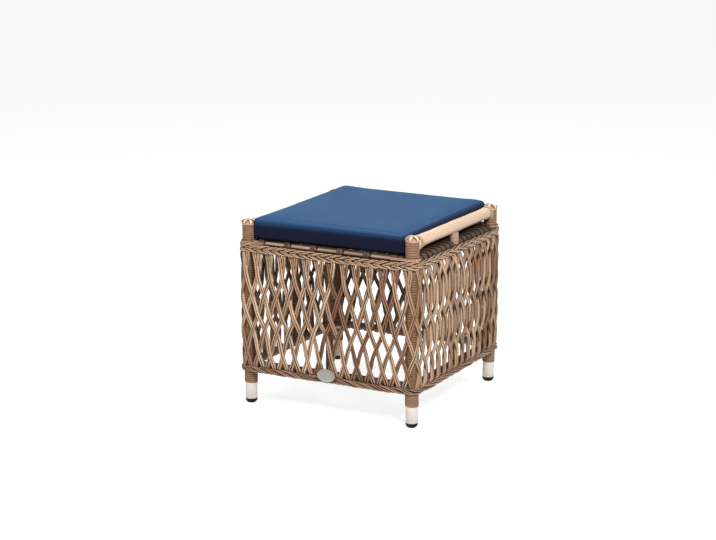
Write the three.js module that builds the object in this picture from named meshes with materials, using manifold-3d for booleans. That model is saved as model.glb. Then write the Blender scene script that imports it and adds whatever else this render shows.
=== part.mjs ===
// Outdoor woven footstool: an aluminium tube frame with wrapped posts, open lattice sides
// between twisted borders, two cane handle rails, a banded seat and a loose cushion.
// Units are millimetres. X is left to right, Y is front to back, Z is up from the floor.
import * as THREE from 'three';
import { mergeVertices } from 'three/addons/utils/BufferGeometryUtils.js';
import Module from 'manifold-3d';

const wasm = await Module();
wasm.setup();

// Frame
const legHalfSpacing = 210; // leg centre from the middle of the stool, each way
const legRadius = 14;
const legWall = 1.3;
const postRise = 8.1; // post tube above the middle of the handle rail
const railRadius = 9; // lower rails and seat rails
const midPostRadius = 8.5;
const crossBarRadius = 8;
const clearance = 0.3; // between pieces that touch on the real stool

// Glides under the legs
const glideHeight = 11;
const glideFlatRadius = 5;
const glideStemLength = 18;
const glideRibDepth = 0.4;
const glideRibShares = [[0.15, 0.4], [0.65, 0.9]]; // where each rib starts and peaks, up the stem
const glideDomeSteps = 4;

// Cane wound round the posts
const wrapThickness = 0.9;
const wrapRidge = 0.6;
const wrapPitch = 5.8;
const wrapStart = 52; // bare leg shows below this height
const capHeight = 12.7; // domed cap over the post top
const capSkirt = 1.7; // how far the cap reaches down over the tube
const capShoulderShare = 1 / 3; // straight part of the cap's side
const capDomeSteps = 3;

// Woven sides
const bottomBorderBase = 78;
const bottomBorderHeight = 20;
const latticeHeight = 264;
const topBorderHeight = 23;
const borderRelief = 1.6;
const borderThickness = 3.85;
const borderEdgeShare = 0.2; // height of a border's bevelled edges
const ropePhaseShares = [0, 1 / 3, 2 / 3]; // how far through the lay a border's edges are
const ropeLayStations = 3;
const braidPhaseShares = [0, 1 / 2, 0];
const braidLayStations = 2;
const strandWidth = 10.5;
const strandThickness = 3.2;
const strandGroove = 1.4; // between the two canes of a strand
const strandGap = 0.5; // air between strands where they cross
const bandThickness = 2.2; // strand ends laid flat behind the borders
const bandHeight = 14;
const bandClearance = 0.8; // between the post winding and the bands at the corners
const borderClearance = 0.7;
const mitreGap = 0.4; // between neighbouring sides at the corners
const columns = 14; // diamonds along one side
const rows = 6; // half diamonds up one side

// Seat
const lowerRailDrop = 3; // lower rail centre below the top of the bottom border
const seatRailDrop = 5; // seat rail centre below the top of the top border
const bandCount = 19; // flat cane bands across the seat
const bandSlot = 4.6; // gap between seat bands
const seatBandThickness = 2.6;
const seatOverhang = 2; // bands past the side rails
const seatEdgeStrap = 8; // material left at the ends of the slots by the posts
const binderCount = 6; // double strands from front to back
const binderWidth = 14;
const binderInset = 16.9; // from the corner blocks' ends to the first double strand
const binderThickness = 1.5;
const binderEdgeThickness = 5;
const binderEdgeHeight = 8;
const binderBlockDrop = 1.6; // cane blocks between the lashings sit this much lower

// Handles
const handleRadius = 13;
const fingerGap = 17; // between the seat bands and the handle rail
const flareLength = 24; // elbow where the rail runs into the post
const flareDrop = 9;
const flareShares = [0, 0.3, 0.6, 0.85, 1]; // stations along the elbow
const spacerRadius = 8.5;

// Cushion
const cushionSideGap = 2; // between the cushion and each handle rail
const cushionOverhang = 2.5; // past the leg centres, front and back
const cushionHeight = 50;
const cushionCrown = 4;
const cushionTilt = 4; // top rises this much from the middle to the back edge
const cushionCorner = 16;
const cushionDrawIn = 2.5; // sides pull in between the corners
const cushionRoundShare = 1 / 6; // rounding of the long edges
const sideRoundShare = 1 / 4;
const cornerLeastShare = 1 / 4;
const crownShares = [[0.72, 0.7], [0.4, 0.93]]; // how far in, and how far up the crown
const coverThickness = 3;
const zipInset = 30; // from the cushion's sides to the ends of the zip
const zipWidth = 8;
const zipThickness = 1.5;

// Badge plate, left bare
const badgeHalfWidth = 23;
const badgeHalfHeight = 15.5;
const badgeThickness = 1.6;
const badgeHeight = 99; // centre above the floor
const badgeRim = 2.2;
const badgeRimRaise = 0.5;
const badgeOvalSteps = 24;

// Heights and offsets that follow
const bottomBorderTop = bottomBorderBase + bottomBorderHeight;
const topBorderBase = bottomBorderTop + latticeHeight;
const topBorderTop = topBorderBase + topBorderHeight;
const lowerRailZ = bottomBorderTop - lowerRailDrop;
const seatRailZ = topBorderTop - seatRailDrop;
const seatBase = seatRailZ + railRadius + clearance;
const seatTop = seatBase + seatBandThickness;
const binderBase = seatTop + clearance;
const binderTop = binderBase + binderThickness;
const cushionBase = binderTop + clearance;
const handleZ = seatTop + fingerGap + handleRadius;
const legTop = handleZ + postRise;
const capBase = legTop - capSkirt;
const wrapRadius = legRadius + clearance + wrapThickness + wrapRidge;
const strandStack = 2 * strandThickness + strandGap;
const bandInner = wrapRadius + bandClearance;
const bandOuter = bandInner + bandThickness;
const borderInner = bandOuter + borderClearance;
const borderOuter = borderInner + borderThickness;
const latticeOuter = borderOuter;
const latticeMiddle = latticeOuter - strandStack / 2;
const cornerArc = latticeMiddle * Math.PI / 4;
const sideHalf = legHalfSpacing + cornerArc; // half of one side, measured along the weave
const columnPitch = 2 * sideHalf / columns;
const rowPitch = latticeHeight / rows;
const binderEdgeHalf = legHalfSpacing - wrapRadius - clearance;
const binderPitch = (2 * (binderEdgeHalf - binderInset) - binderWidth) / (binderCount - 1);
const cushionWidth = 2 * (legHalfSpacing - handleRadius - cushionSideGap);
const cushionDepth = 2 * (legHalfSpacing + cushionOverhang);
const zipLength = cushionWidth - 2 * zipInset;
const weldDistance = clearance / 1000; // corners closer than this are one
const roundSides = 12;
const handleSides = 16;

const colours = {
  tube: [0xe9e4d8, 0.35, 0.6],
  rail: [0x3b2a22, 0.5, 0.2],
  glide: [0x111111, 0.6, 0],
  wrap: [0xb08a68, 0.6, 0],
  cane: [0x9a7759, 0.6, 0],
  caneLight: [0xdcbd94, 0.45, 0],
  border: [0xa87f5c, 0.6, 0],
  plate: [0x9fa6a8, 0.35, 0.9],
  cover: [0x1f3a6e, 0.8, 0],
  foam: [0xe8e2c8, 0.9, 0],
  zip: [0x16233f, 0.6, 0],
};

const group = new THREE.Group();

function addNode(name, geometry, finish, turns = 0) {
  const [color, roughness, metalness] = colours[finish];
  const material = new THREE.MeshStandardMaterial({ color, roughness, metalness });
  const mesh = new THREE.Mesh(geometry, material);
  mesh.name = name;
  mesh.rotation.z = turns * Math.PI / 2;
  group.add(mesh);
}

// Solid booleans

function toSolid(geometry) {
  const bare = geometry.clone();
  bare.deleteAttribute('normal');
  bare.deleteAttribute('uv');
  const welded = mergeVertices(bare, weldDistance);
  return new wasm.Manifold(new wasm.Mesh({
    numProp: 3,
    vertProperties: Float32Array.from(welded.attributes.position.array),
    triVerts: Uint32Array.from(welded.index.array),
  }));
}

function fromSolid(solid) {
  const mesh = solid.getMesh();
  const geometry = new THREE.BufferGeometry();
  geometry.setAttribute('position', new THREE.BufferAttribute(mesh.vertProperties, 3));
  geometry.setIndex(new THREE.BufferAttribute(mesh.triVerts, 1));
  return geometry;
}

function cut(geometry, ...tools) {
  let solid = toSolid(geometry);
  for (const tool of tools) {
    solid = solid.subtract(toSolid(tool));
  }
  return fromSolid(solid);
}

function join(first, ...others) {
  let solid = toSolid(first);
  for (const other of others) {
    solid = solid.add(toSolid(other));
  }
  return fromSolid(solid);
}

// Basic solids

function upright(radius, bottom, top, x, y) {
  const geometry = new THREE.CylinderGeometry(radius, radius, top - bottom, roundSides);
  geometry.rotateX(Math.PI / 2);
  geometry.translate(x, y, (bottom + top) / 2);
  return geometry;
}

function barAlongX(radius, halfLength, y, z, sides = roundSides) {
  const geometry = new THREE.CylinderGeometry(radius, radius, 2 * halfLength, sides);
  geometry.rotateZ(Math.PI / 2);
  geometry.translate(0, y, z);
  return geometry;
}

function block(x0, x1, y0, y1, z0, z1) {
  const geometry = new THREE.BoxGeometry(x1 - x0, y1 - y0, z1 - z0);
  geometry.translate((x0 + x1) / 2, (y0 + y1) / 2, (z0 + z1) / 2);
  return geometry;
}

// Revolved about an upright axis at (x, y); points are [radius, height]
function turned(points, x, y) {
  const profile = points.map(([r, z]) => new THREE.Vector2(r, z));
  const geometry = new THREE.LatheGeometry(profile, roundSides, Math.PI / roundSides);
  geometry.rotateX(Math.PI / 2);
  geometry.translate(x, y, 0);
  return geometry;
}

// Closed solid through a list of rings with equal point counts, capped with fans
function loft(rings, closeStart, closeEnd) {
  const count = rings[0].length;
  const positions = rings.flat();
  const index = [];
  for (let ring = 0; ring + 1 < rings.length; ring += 1) {
    for (let point = 0; point < count; point += 1) {
      const a = ring * count + point;
      const b = ring * count + (point + 1) % count;
      index.push(a, b, a + count, b, b + count, a + count);
    }
  }
  const startHub = positions.push(closeStart) - 1;
  const endHub = positions.push(closeEnd) - 1;
  const last = (rings.length - 1) * count;
  for (let point = 0; point < count; point += 1) {
    const next = (point + 1) % count;
    index.push(startHub, next, point, endHub, last + point, last + next);
  }
  const geometry = new THREE.BufferGeometry();
  geometry.setAttribute('position', new THREE.Float32BufferAttribute(positions.flat(), 3));
  geometry.setIndex(index);
  return geometry;
}

// Point on one side of the weave: along runs round the corner past the legs, depth is the
// distance out from the line of leg centres. The side faces the front before it is turned.
function onSide(along, depth, z) {
  const past = Math.abs(along) - legHalfSpacing;
  if (past <= 0) {
    return [along, -legHalfSpacing - depth, z];
  }
  const angle = past / latticeMiddle;
  const x = legHalfSpacing + depth * Math.sin(angle);
  return [Math.sign(along) * x, -legHalfSpacing - depth * Math.cos(angle), z];
}

const sideEnd = sideHalf - mitreGap / 2;
const cornerMiddle = legHalfSpacing + cornerArc / 2;

// Triangles gathered by position, so that shared corners weld into one closed solid

class Skin {
  constructor() {
    this.positions = [];
  }

  face(...points) {
    for (let point = 1; point + 1 < points.length; point += 1) {
      this.positions.push(...points[0], ...points[point], ...points[point + 1]);
    }
  }

  geometry() {
    const geometry = new THREE.BufferGeometry();
    geometry.setAttribute('position', new THREE.Float32BufferAttribute(this.positions, 3));
    return mergeVertices(geometry, weldDistance);
  }
}

// Lattice: each strand is a pair of canes with a groove between them outside and a ridge
// inside. It zigzags over and under the strands that cross it, one crossing for each half
// diamond. A section lists its groove, left edge, ridge and right edge.

const leanAngle = Math.atan2(columnPitch / 2, rowPitch);
const acrossAlong = strandWidth / 2 * Math.cos(leanAngle);
const acrossUp = strandWidth / 2 * Math.sin(leanAngle);
const mitreUp = strandWidth / 2 / Math.sin(leanAngle);
const outsideFace = latticeOuter;
const insideFace = latticeOuter - strandThickness - strandGap;
const footHalf = strandWidth / 2 / Math.cos(leanAngle);

function rowHeight(row) {
  return bottomBorderTop + row * rowPitch;
}

// Even rows carry the rising strands outside, odd rows the falling ones
function faceDepth(row, rising) {
  const outside = (row % 2 === 0) === rising;
  return outside ? outsideFace : insideFace;
}

function sectionAt(along, height, depth, rising) {
  const lean = rising ? 1 : -1;
  return [
    onSide(along, depth - strandGroove, height),
    onSide(along - acrossAlong, depth, height + lean * acrossUp),
    onSide(along, depth - strandThickness, height),
    onSide(along + acrossAlong, depth, height - lean * acrossUp),
  ];
}

// Long slanting cut where a strand runs on round the corner
function mitreSection(along, height, depth, rising) {
  const end = Math.sign(along) * sideEnd;
  const lean = rising ? 1 : -1;
  return [
    onSide(end, depth - strandGroove, height),
    onSide(end, depth, height + lean * mitreUp),
    onSide(end, depth - strandThickness, height),
    onSide(end, depth, height - lean * mitreUp),
  ];
}

// Foot of a strand on its band: outer left, outer right, inner right, inner left
function footAt(from, to, height) {
  return [
    onSide(from, bandOuter, height),
    onSide(to, bandOuter, height),
    onSide(to, bandInner, height),
    onSide(from, bandInner, height),
  ];
}

function joinSections(skin, lower, upper) {
  lower.forEach((corner, point) => {
    const next = (point + 1) % lower.length;
    skin.face(corner, upper[point], upper[next], lower[next]);
  });
}

// Four foot corners to the four corners of a section
function joinFoot(skin, foot, section, atBottom) {
  const [outLeft, outRight, inRight, inLeft] = foot;
  const [groove, left, ridge, right] = section;
  const faces = [
    [outLeft, outRight, groove],
    [outRight, right, groove],
    [outLeft, groove, left],
    [outRight, inRight, right],
    [inRight, ridge, right],
    [inRight, inLeft, ridge],
    [inLeft, left, ridge],
    [inLeft, outLeft, left],
  ];
  for (const corners of faces) {
    skin.face(...(atBottom ? corners : corners.reverse()));
  }
}

function capSection(skin, section, facingUp) {
  const [groove, left, ridge, right] = section;
  skin.face(...(facingUp ? [groove, right, ridge, left] : section));
}

function strandSegment(skin, lower, upper, rising) {
  const path = [lower, upper];
  if (Math.max(Math.abs(lower.along), Math.abs(upper.along)) > cornerMiddle) {
    const side = Math.sign(lower.along);
    const share = (side * cornerMiddle - lower.along) / (upper.along - lower.along);
    const height = lower.height + share * (upper.height - lower.height);
    const depth = lower.depth + share * (upper.depth - lower.depth);
    path.splice(1, 0, { section: sectionAt(side * cornerMiddle, height, depth, rising) });
  }
  for (let step = 0; step + 1 < path.length; step += 1) {
    const from = path[step];
    const to = path[step + 1];
    if (from.foot) {
      joinFoot(skin, from.foot, to.section, true);
    } else if (to.foot) {
      joinFoot(skin, to.foot, from.section, false);
    } else {
      joinSections(skin, from.section, to.section);
    }
  }
}

function stopAt(column, row, rising) {
  const along = -sideHalf + column * columnPitch;
  const height = rowHeight(row);
  if (row === 0 || row === rows) {
    const toRight = (row === 0) === rising;
    const from = Math.max(toRight ? along : along - footHalf, -sideEnd);
    const to = Math.min(toRight ? along + footHalf : along, sideEnd);
    return { along, height, depth: bandOuter, foot: footAt(from, to, height) };
  }
  const depth = faceDepth(row, rising);
  const makeSection = column === 0 || column === columns ? mitreSection : sectionAt;
  return { along, height, depth, section: makeSection(along, height, depth, rising) };
}

function addStrand(skin, column, firstRow, rising) {
  const step = rising ? 0.5 : -0.5;
  let row = firstRow;
  let place = column;
  let lower = stopAt(place, row, rising);
  if (lower.section) {
    capSection(skin, lower.section, false);
  }
  while (row < rows && place + step >= 0 && place + step <= columns) {
    row += 1;
    place += step;
    const upper = stopAt(place, row, rising);
    strandSegment(skin, lower, upper, rising);
    lower = upper;
  }
  if (lower.section) {
    capSection(skin, lower.section, true);
  }
}

// Stations along a band; each keeps whether it has corners at the plain edge too
function bandStations() {
  const stations = [];
  for (let column = 0; column <= columns; column += 1) {
    const along = -sideHalf + column * columnPitch;
    const middle = Math.min(Math.max(along, -sideEnd), sideEnd);
    if (column > 0) {
      stations.push({ along: along - footHalf, full: false, open: true });
    }
    stations.push({ along: middle, full: true, open: column < columns });
    if (column < columns) {
      stations.push({ along: along + footHalf, full: false, open: false });
    }
  }
  for (const along of [cornerMiddle, legHalfSpacing]) {
    for (const side of [-1, 1]) {
      stations.push({ along: side * along, full: true, open: null });
    }
  }
  stations.sort((a, b) => a.along - b.along);
  stations.forEach((station, place) => {
    station.open = station.open ?? stations[place - 1].open;
  });
  return stations;
}

// Upright strip of a band between two full stations, its corners listed along the foot edge
function bandWall(skin, run, depth, footEdge, plainEdge, outward) {
  const tops = run.map((station) => onSide(station.along, depth, footEdge));
  const first = onSide(run[0].along, depth, plainEdge);
  const last = onSide(run[run.length - 1].along, depth, plainEdge);
  const half = Math.floor((tops.length - 1) / 2);
  const faces = [[first, last, tops[half]]];
  for (let place = 0; place + 1 < tops.length; place += 1) {
    faces.push([place < half ? first : last, tops[place + 1], tops[place]]);
  }
  for (const corners of faces) {
    skin.face(...(outward ? corners : corners.reverse()));
  }
}

function addBand(skin, footEdge, plainEdge) {
  const up = footEdge > plainEdge;
  const stations = bandStations();
  const turn = (corners) => (up ? corners : corners.reverse());
  let run = [stations[0]];
  for (let place = 1; place < stations.length; place += 1) {
    const before = stations[place - 1];
    const here = stations[place];
    run.push(here);
    if (!before.open) {
      skin.face(...turn([
        onSide(before.along, bandOuter, footEdge),
        onSide(here.along, bandOuter, footEdge),
        onSide(here.along, bandInner, footEdge),
        onSide(before.along, bandInner, footEdge),
      ]));
    }
    if (here.full) {
      bandWall(skin, run, bandOuter, footEdge, plainEdge, up);
      bandWall(skin, run, bandInner, footEdge, plainEdge, !up);
      skin.face(...turn([
        onSide(run[0].along, bandInner, plainEdge),
        onSide(here.along, bandInner, plainEdge),
        onSide(here.along, bandOuter, plainEdge),
        onSide(run[0].along, bandOuter, plainEdge),
      ]));
      run = [here];
    }
  }
  for (const end of [-sideEnd, sideEnd]) {
    const corners = [
      onSide(end, bandOuter, footEdge),
      onSide(end, bandInner, footEdge),
      onSide(end, bandInner, plainEdge),
      onSide(end, bandOuter, plainEdge),
    ];
    skin.face(...(up === end < 0 ? corners : corners.reverse()));
  }
}

function makeLattice() {
  const skin = new Skin();
  for (let column = 0; column < columns; column += 1) {
    addStrand(skin, column, 0, true);
    addStrand(skin, column + 1, 0, false);
  }
  for (let row = 2; row < rows; row += 2) {
    addStrand(skin, 0, row, true);
    addStrand(skin, columns, row, false);
  }
  addBand(skin, bottomBorderTop, bottomBorderTop - bandHeight);
  addBand(skin, topBorderBase, topBorderBase + bandHeight);
  return skin.geometry();
}

// Borders: a bar along the side whose outer face swells and sinks as its strands twist.
// phaseShares says how far through the lay the top, middle and bottom edges are.
function makeBorder(base, top, phaseShares, layStations, badgeSeat) {
  const edge = clearance;
  const alongs = [];
  for (let station = 0; station <= 2 * columns; station += 1) {
    const along = -sideHalf + station * columnPitch / 2;
    alongs.push(Math.min(Math.max(along, -sideEnd), sideEnd));
  }
  alongs.splice(1, 0, -cornerMiddle);
  alongs.splice(alongs.length - 1, 0, cornerMiddle);
  const low = base + (top - base) * borderEdgeShare;
  const high = top - (top - base) * borderEdgeShare;
  const rings = alongs.map((along, station) => {
    const swell = (share) => {
      const phase = (station / layStations + share) * 2 * Math.PI;
      const depth = borderOuter - borderRelief * (1 - Math.cos(phase)) / 2;
      const behindBadge = badgeSeat && Math.abs(along) < badgeHalfWidth + columnPitch / 2;
      return behindBadge ? Math.min(depth, badgeSeat) : depth;
    };
    return [
      onSide(along, borderInner, base + edge),
      onSide(along, borderInner, top - edge),
      onSide(along, swell(phaseShares[0]), high),
      onSide(along, swell(phaseShares[1]), (base + top) / 2),
      onSide(along, swell(phaseShares[2]), low),
    ];
  });
  const middle = (ring) => {
    const sum = [0, 0, 0];
    ring.forEach((point) => point.forEach((value, axis) => { sum[axis] += value; }));
    return sum.map((value) => value / ring.length);
  };
  return loft(rings, middle(rings[0]), middle(rings[rings.length - 1]));
}

// Frame

function makeLeg(x, y) {
  const inner = legRadius - legWall;
  const foot = glideHeight + clearance;
  return turned([[inner, foot], [legRadius, foot], [legRadius, legTop], [inner, legTop],
    [inner, foot]], x, y);
}

function makeGlide(x, y) {
  const stem = legRadius - legWall - clearance;
  const groove = stem - glideRibDepth;
  const rim = legRadius + clearance;
  const stemTop = glideHeight + glideStemLength;
  const points = [[0, 0], [glideFlatRadius, 0]];
  for (let step = 1; step < glideDomeSteps; step += 1) {
    const angle = step / glideDomeSteps * Math.PI / 2;
    const radius = glideFlatRadius + (rim - glideFlatRadius) * Math.sin(angle);
    points.push([radius, glideHeight * (1 - Math.cos(angle))]);
  }
  points.push([rim, glideHeight], [groove, glideHeight]);
  for (const [startShare, peakShare] of glideRibShares) {
    points.push([groove, glideHeight + glideStemLength * startShare],
      [stem, glideHeight + glideStemLength * peakShare]);
  }
  points.push([groove, stemTop], [0, stemTop]);
  return turned(points, x, y);
}

function makeRail(z) {
  const bar = barAlongX(railRadius, legHalfSpacing, -legHalfSpacing, z);
  const reach = 2 * railRadius;
  const posts = [-1, 1].map((side) => turned([[0, z - reach], [legRadius + clearance, z - reach],
    [legRadius + clearance, z + reach], [0, z + reach]],
  side * legHalfSpacing, -legHalfSpacing));
  return cut(bar, ...posts);
}

function makeMidPost() {
  const post = upright(midPostRadius, lowerRailZ, seatRailZ, 0, -legHalfSpacing);
  const rails = [lowerRailZ, seatRailZ].map(
    (z) => barAlongX(railRadius + clearance, legHalfSpacing, -legHalfSpacing, z),
  );
  return cut(post, ...rails);
}

function makeCrossBar() {
  const bar = barAlongX(crossBarRadius, legHalfSpacing, 0, seatRailZ);
  bar.rotateZ(Math.PI / 2);
  const rails = [-1, 1].map(
    (side) => barAlongX(railRadius + clearance, legHalfSpacing, side * legHalfSpacing, seatRailZ),
  );
  const posts = [-1, 1].map(
    (side) => upright(midPostRadius + clearance, lowerRailZ, seatRailZ, 0, side * legHalfSpacing),
  );
  return cut(bar, ...rails, ...posts);
}

// Winding on a post, ridged where it shows
function makeWrap(from, to, x, y, ridged) {
  const inner = legRadius + clearance;
  const valley = inner + wrapThickness;
  const ridge = valley + wrapRidge;
  const points = [[inner, from], [valley, from]];
  const turns = ridged ? Math.max(Math.round((to - from) / wrapPitch), 1) : 0;
  for (let turn = 0; turn < turns; turn += 1) {
    points.push([ridge, from + (to - from) * (turn + 0.5) / turns]);
    if (turn + 1 < turns) {
      points.push([valley, from + (to - from) * (turn + 1) / turns]);
    }
  }
  points.push([valley, to], [inner, to], [inner, from]);
  return turned(points, x, y);
}

function makeCap(x, y) {
  const roof = legTop + clearance;
  const bore = legRadius + clearance;
  const shoulder = capBase + capHeight * capShoulderShare;
  const points = [[0, roof], [bore, roof], [bore, capBase], [wrapRadius, capBase],
    [wrapRadius, shoulder]];
  for (let step = 1; step < capDomeSteps; step += 1) {
    const angle = step / capDomeSteps * Math.PI / 2;
    const z = shoulder + (capBase + capHeight - shoulder) * Math.sin(angle);
    points.push([wrapRadius * Math.cos(angle), z]);
  }
  points.push([0, capBase + capHeight]);
  return turned(points, x, y);
}

// Handle rail: a round cane rail that deepens into an elbow where it meets each post
function makeHandle() {
  const half = legHalfSpacing;
  const bend = half - wrapRadius - flareLength;
  const ends = flareShares.map((share) => [bend + share * flareLength, share ** 2 * flareDrop]);
  ends.push([half, flareDrop]);
  const stations = [...ends.map(([y, drop]) => [-y, drop]).reverse(), ...ends];
  const rings = stations.map(([y, drop]) => {
    const ring = [];
    for (let side = 0; side < handleSides; side += 1) {
      const angle = side / handleSides * 2 * Math.PI;
      const x = legHalfSpacing + handleRadius * Math.cos(angle);
      const lift = Math.sin(angle);
      ring.push([x, y, handleZ + handleRadius * lift + Math.min(lift, 0) * drop]);
    }
    return ring.reverse();
  });
  const rail = loft(rings, [legHalfSpacing, -half, handleZ], [legHalfSpacing, half, handleZ]);
  const reach = handleRadius + flareDrop + capHeight;
  const posts = [-1, 1].map((side) => turned([[0, handleZ - reach],
    [wrapRadius + clearance, handleZ - reach], [wrapRadius + clearance, handleZ + reach],
    [0, handleZ + reach]], legHalfSpacing, side * legHalfSpacing));
  return cut(rail, ...posts);
}

function makeSpacer() {
  const bottom = seatRailZ + railRadius + clearance;
  const top = handleZ;
  const post = upright(spacerRadius, bottom, top, legHalfSpacing, 0);
  const rail = barAlongX(handleRadius + clearance, 2 * spacerRadius, 0, handleZ, handleSides);
  rail.rotateZ(Math.PI / 2);
  rail.translate(legHalfSpacing, 0, 0);
  return cut(post, rail);
}

// Seat bands: flat canes from side rail to side rail, held together over the side rails,
// with notched corners round the posts and a hole where each handle spacer stands
function makeSeatBands() {
  const halfWidth = legHalfSpacing + railRadius + seatOverhang;
  const halfDepth = legHalfSpacing + railRadius;
  const notch = legHalfSpacing - wrapRadius - clearance;
  const slotEnd = legHalfSpacing - railRadius;
  const pitch = (2 * halfDepth + bandSlot) / bandCount;
  const opening = (x0, x1, y0, y1) => block(x0, x1, y0, y1, seatBase - seatBandThickness,
    seatTop + seatBandThickness);
  const tools = [];
  for (const signX of [-1, 1]) {
    for (const signY of [-1, 1]) {
      tools.push(opening(...[signX * notch, signX * 2 * halfWidth].sort((a, b) => a - b),
        ...[signY * notch, signY * 2 * halfDepth].sort((a, b) => a - b)));
    }
    const x = signX * legHalfSpacing;
    const holeHalf = spacerRadius + clearance;
    tools.push(opening(x - holeHalf, x + holeHalf, -holeHalf, holeHalf));
  }
  for (let slot = 1; slot < bandCount; slot += 1) {
    const y = -halfDepth + slot * pitch - bandSlot / 2;
    const nearPost = Math.abs(y) + bandSlot / 2 > notch - seatEdgeStrap / 2;
    const end = nearPost ? notch - seatEdgeStrap : slotEnd;
    tools.push(opening(-end, end, y - bandSlot / 2, y + bandSlot / 2));
  }
  return cut(block(-halfWidth, halfWidth, -halfDepth, halfDepth, seatBase, seatTop), ...tools);
}

// Binders: double strands from front to back over the bands, lashed over the front and
// back rails, with the row of short cane blocks between the lashings
function makeBinders() {
  const railFace = legHalfSpacing + railRadius + clearance;
  const edgeBase = binderTop - binderEdgeHeight;
  const places = [];
  for (let binder = 0; binder < binderCount; binder += 1) {
    places.push((binder - (binderCount - 1) / 2) * binderPitch);
  }
  const outline = [[-binderEdgeHalf, edgeBase], [binderEdgeHalf, edgeBase]];
  const blockTop = binderTop - binderBlockDrop;
  const tops = [[-binderEdgeHalf, blockTop]];
  for (const x of places) {
    const x0 = x - binderWidth / 2;
    const x1 = x + binderWidth / 2;
    tops.push([x0, blockTop], [x0, binderTop], [x1, binderTop], [x1, blockTop]);
  }
  tops.push([binderEdgeHalf, blockTop]);
  outline.push(...tops.reverse());
  const shape = new THREE.Shape(outline.map(([x, z]) => new THREE.Vector2(x, z)));
  const edges = [railFace + binderEdgeThickness, -railFace].map((y) => {
    const edge = new THREE.ExtrudeGeometry(shape, { depth: binderEdgeThickness,
      bevelEnabled: false });
    edge.rotateX(Math.PI / 2);
    edge.translate(0, y, 0);
    return edge;
  });
  const reach = railFace + binderEdgeThickness / 2;
  const runners = places.map((x) => block(x - binderWidth / 2, x + binderWidth / 2,
    -reach, reach, binderBase, binderTop));
  return join(...edges, ...runners);
}

// Cushion: rounded box with a crowned top and sides that pull in between the corners

function cushionRing(inset, z, shrink = 1) {
  const halfWidth = cushionWidth / 2 - inset;
  const halfDepth = cushionDepth / 2 - inset;
  const radius = Math.max(cushionCorner - inset, cushionCorner * cornerLeastShare);
  const points = [];
  const cornerSteps = 4;
  for (let corner = 0; corner < 4; corner += 1) {
    const signX = corner === 0 || corner === 3 ? 1 : -1;
    const signY = corner < 2 ? 1 : -1;
    for (let step = 0; step <= cornerSteps; step += 1) {
      const angle = (corner + step / cornerSteps) * Math.PI / 2;
      points.push([signX * (halfWidth - radius) + radius * Math.cos(angle),
        signY * (halfDepth - radius) + radius * Math.sin(angle)]);
    }
    const acrossY = corner % 2 === 0;
    points.push(acrossY ? [0, signY * (halfDepth - cushionDrawIn)]
      : [signX * (halfWidth - cushionDrawIn), 0]);
  }
  return points.map(([x, y]) => [x * shrink, y * shrink, z]);
}

function cushionForm(inset) {
  const base = cushionBase + inset;
  const top = cushionBase + cushionHeight - inset;
  const round = (top - base) * cushionRoundShare;
  const tilted = ([x, y, z]) => [x, y,
    z + cushionTilt * y / (cushionDepth / 2) * (z - base) / (top - base)];
  const rings = [
    cushionRing(inset + round, base),
    cushionRing(inset + round * sideRoundShare, base + round),
    cushionRing(inset, (base + top) / 2 - round),
    cushionRing(inset, (base + top) / 2 + round),
    cushionRing(inset + round * sideRoundShare, top - round),
    cushionRing(inset + round, top),
    ...crownShares.map(([shrink, share]) => cushionRing(inset + round,
      top + share * cushionCrown, shrink)),
  ];
  return loft(rings.map((ring) => ring.map(tilted)), [0, 0, base], [0, 0, top + cushionCrown]);
}

const zipZ = cushionBase + cushionHeight / 2;
const coverBack = cushionDepth / 2;

function makeCover() {
  const slot = block(-zipLength / 2, zipLength / 2, coverBack - 3 * coverThickness,
    coverBack + coverThickness, zipZ - zipWidth / 2, zipZ + zipWidth / 2);
  return cut(cushionForm(0), cushionForm(coverThickness), slot);
}

function makeZip() {
  const inner = coverBack - coverThickness;
  const halfLength = zipLength / 2 - clearance;
  const halfWidth = zipWidth / 2 - clearance;
  const tape = block(-halfLength, halfLength, inner, inner + zipThickness,
    zipZ - halfWidth, zipZ + halfWidth);
  const slider = block(halfLength - 2 * zipWidth, halfLength - zipWidth, inner,
    inner + 2 * zipThickness, zipZ - halfWidth / 2, zipZ + halfWidth / 2);
  return join(tape, slider);
}

// Badge: oval plate with a raised rim, on the front bottom border. It stands clear of the
// strands behind it, which lean outwards on their way up to the first crossing.
const badgeTop = badgeHeight + badgeHalfHeight;
const strandLean = Math.min((badgeTop - bottomBorderTop) / (rowPitch - acrossUp), 1);
const strandFace = bandOuter + strandLean * (latticeOuter - bandOuter);
const badgeBack = Math.max(borderOuter - badgeThickness - badgeRimRaise, strandFace + clearance);

function makeBadge() {
  const oval = (inset) => {
    const curve = new THREE.EllipseCurve(0, 0, badgeHalfWidth - inset, badgeHalfHeight - inset);
    return curve.getPoints(badgeOvalSteps).slice(0, -1);
  };
  const plate = new THREE.ExtrudeGeometry(new THREE.Shape(oval(0)), {
    depth: badgeThickness, bevelEnabled: false });
  const rimShape = new THREE.Shape(oval(0));
  rimShape.holes.push(new THREE.Path(oval(badgeRim).reverse()));
  const rim = new THREE.ExtrudeGeometry(rimShape, {
    depth: badgeThickness + badgeRimRaise, bevelEnabled: false });
  const badge = join(plate, rim);
  badge.rotateX(Math.PI / 2);
  badge.translate(0, -legHalfSpacing - badgeBack, badgeHeight);
  return badge;
}

// Assembly

const corners = {
  front_left: [-1, -1],
  front_right: [1, -1],
  back_right: [1, 1],
  back_left: [-1, 1],
};
const sides = ['front', 'right', 'back', 'left'];
const railTop = railRadius + clearance;

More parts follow.
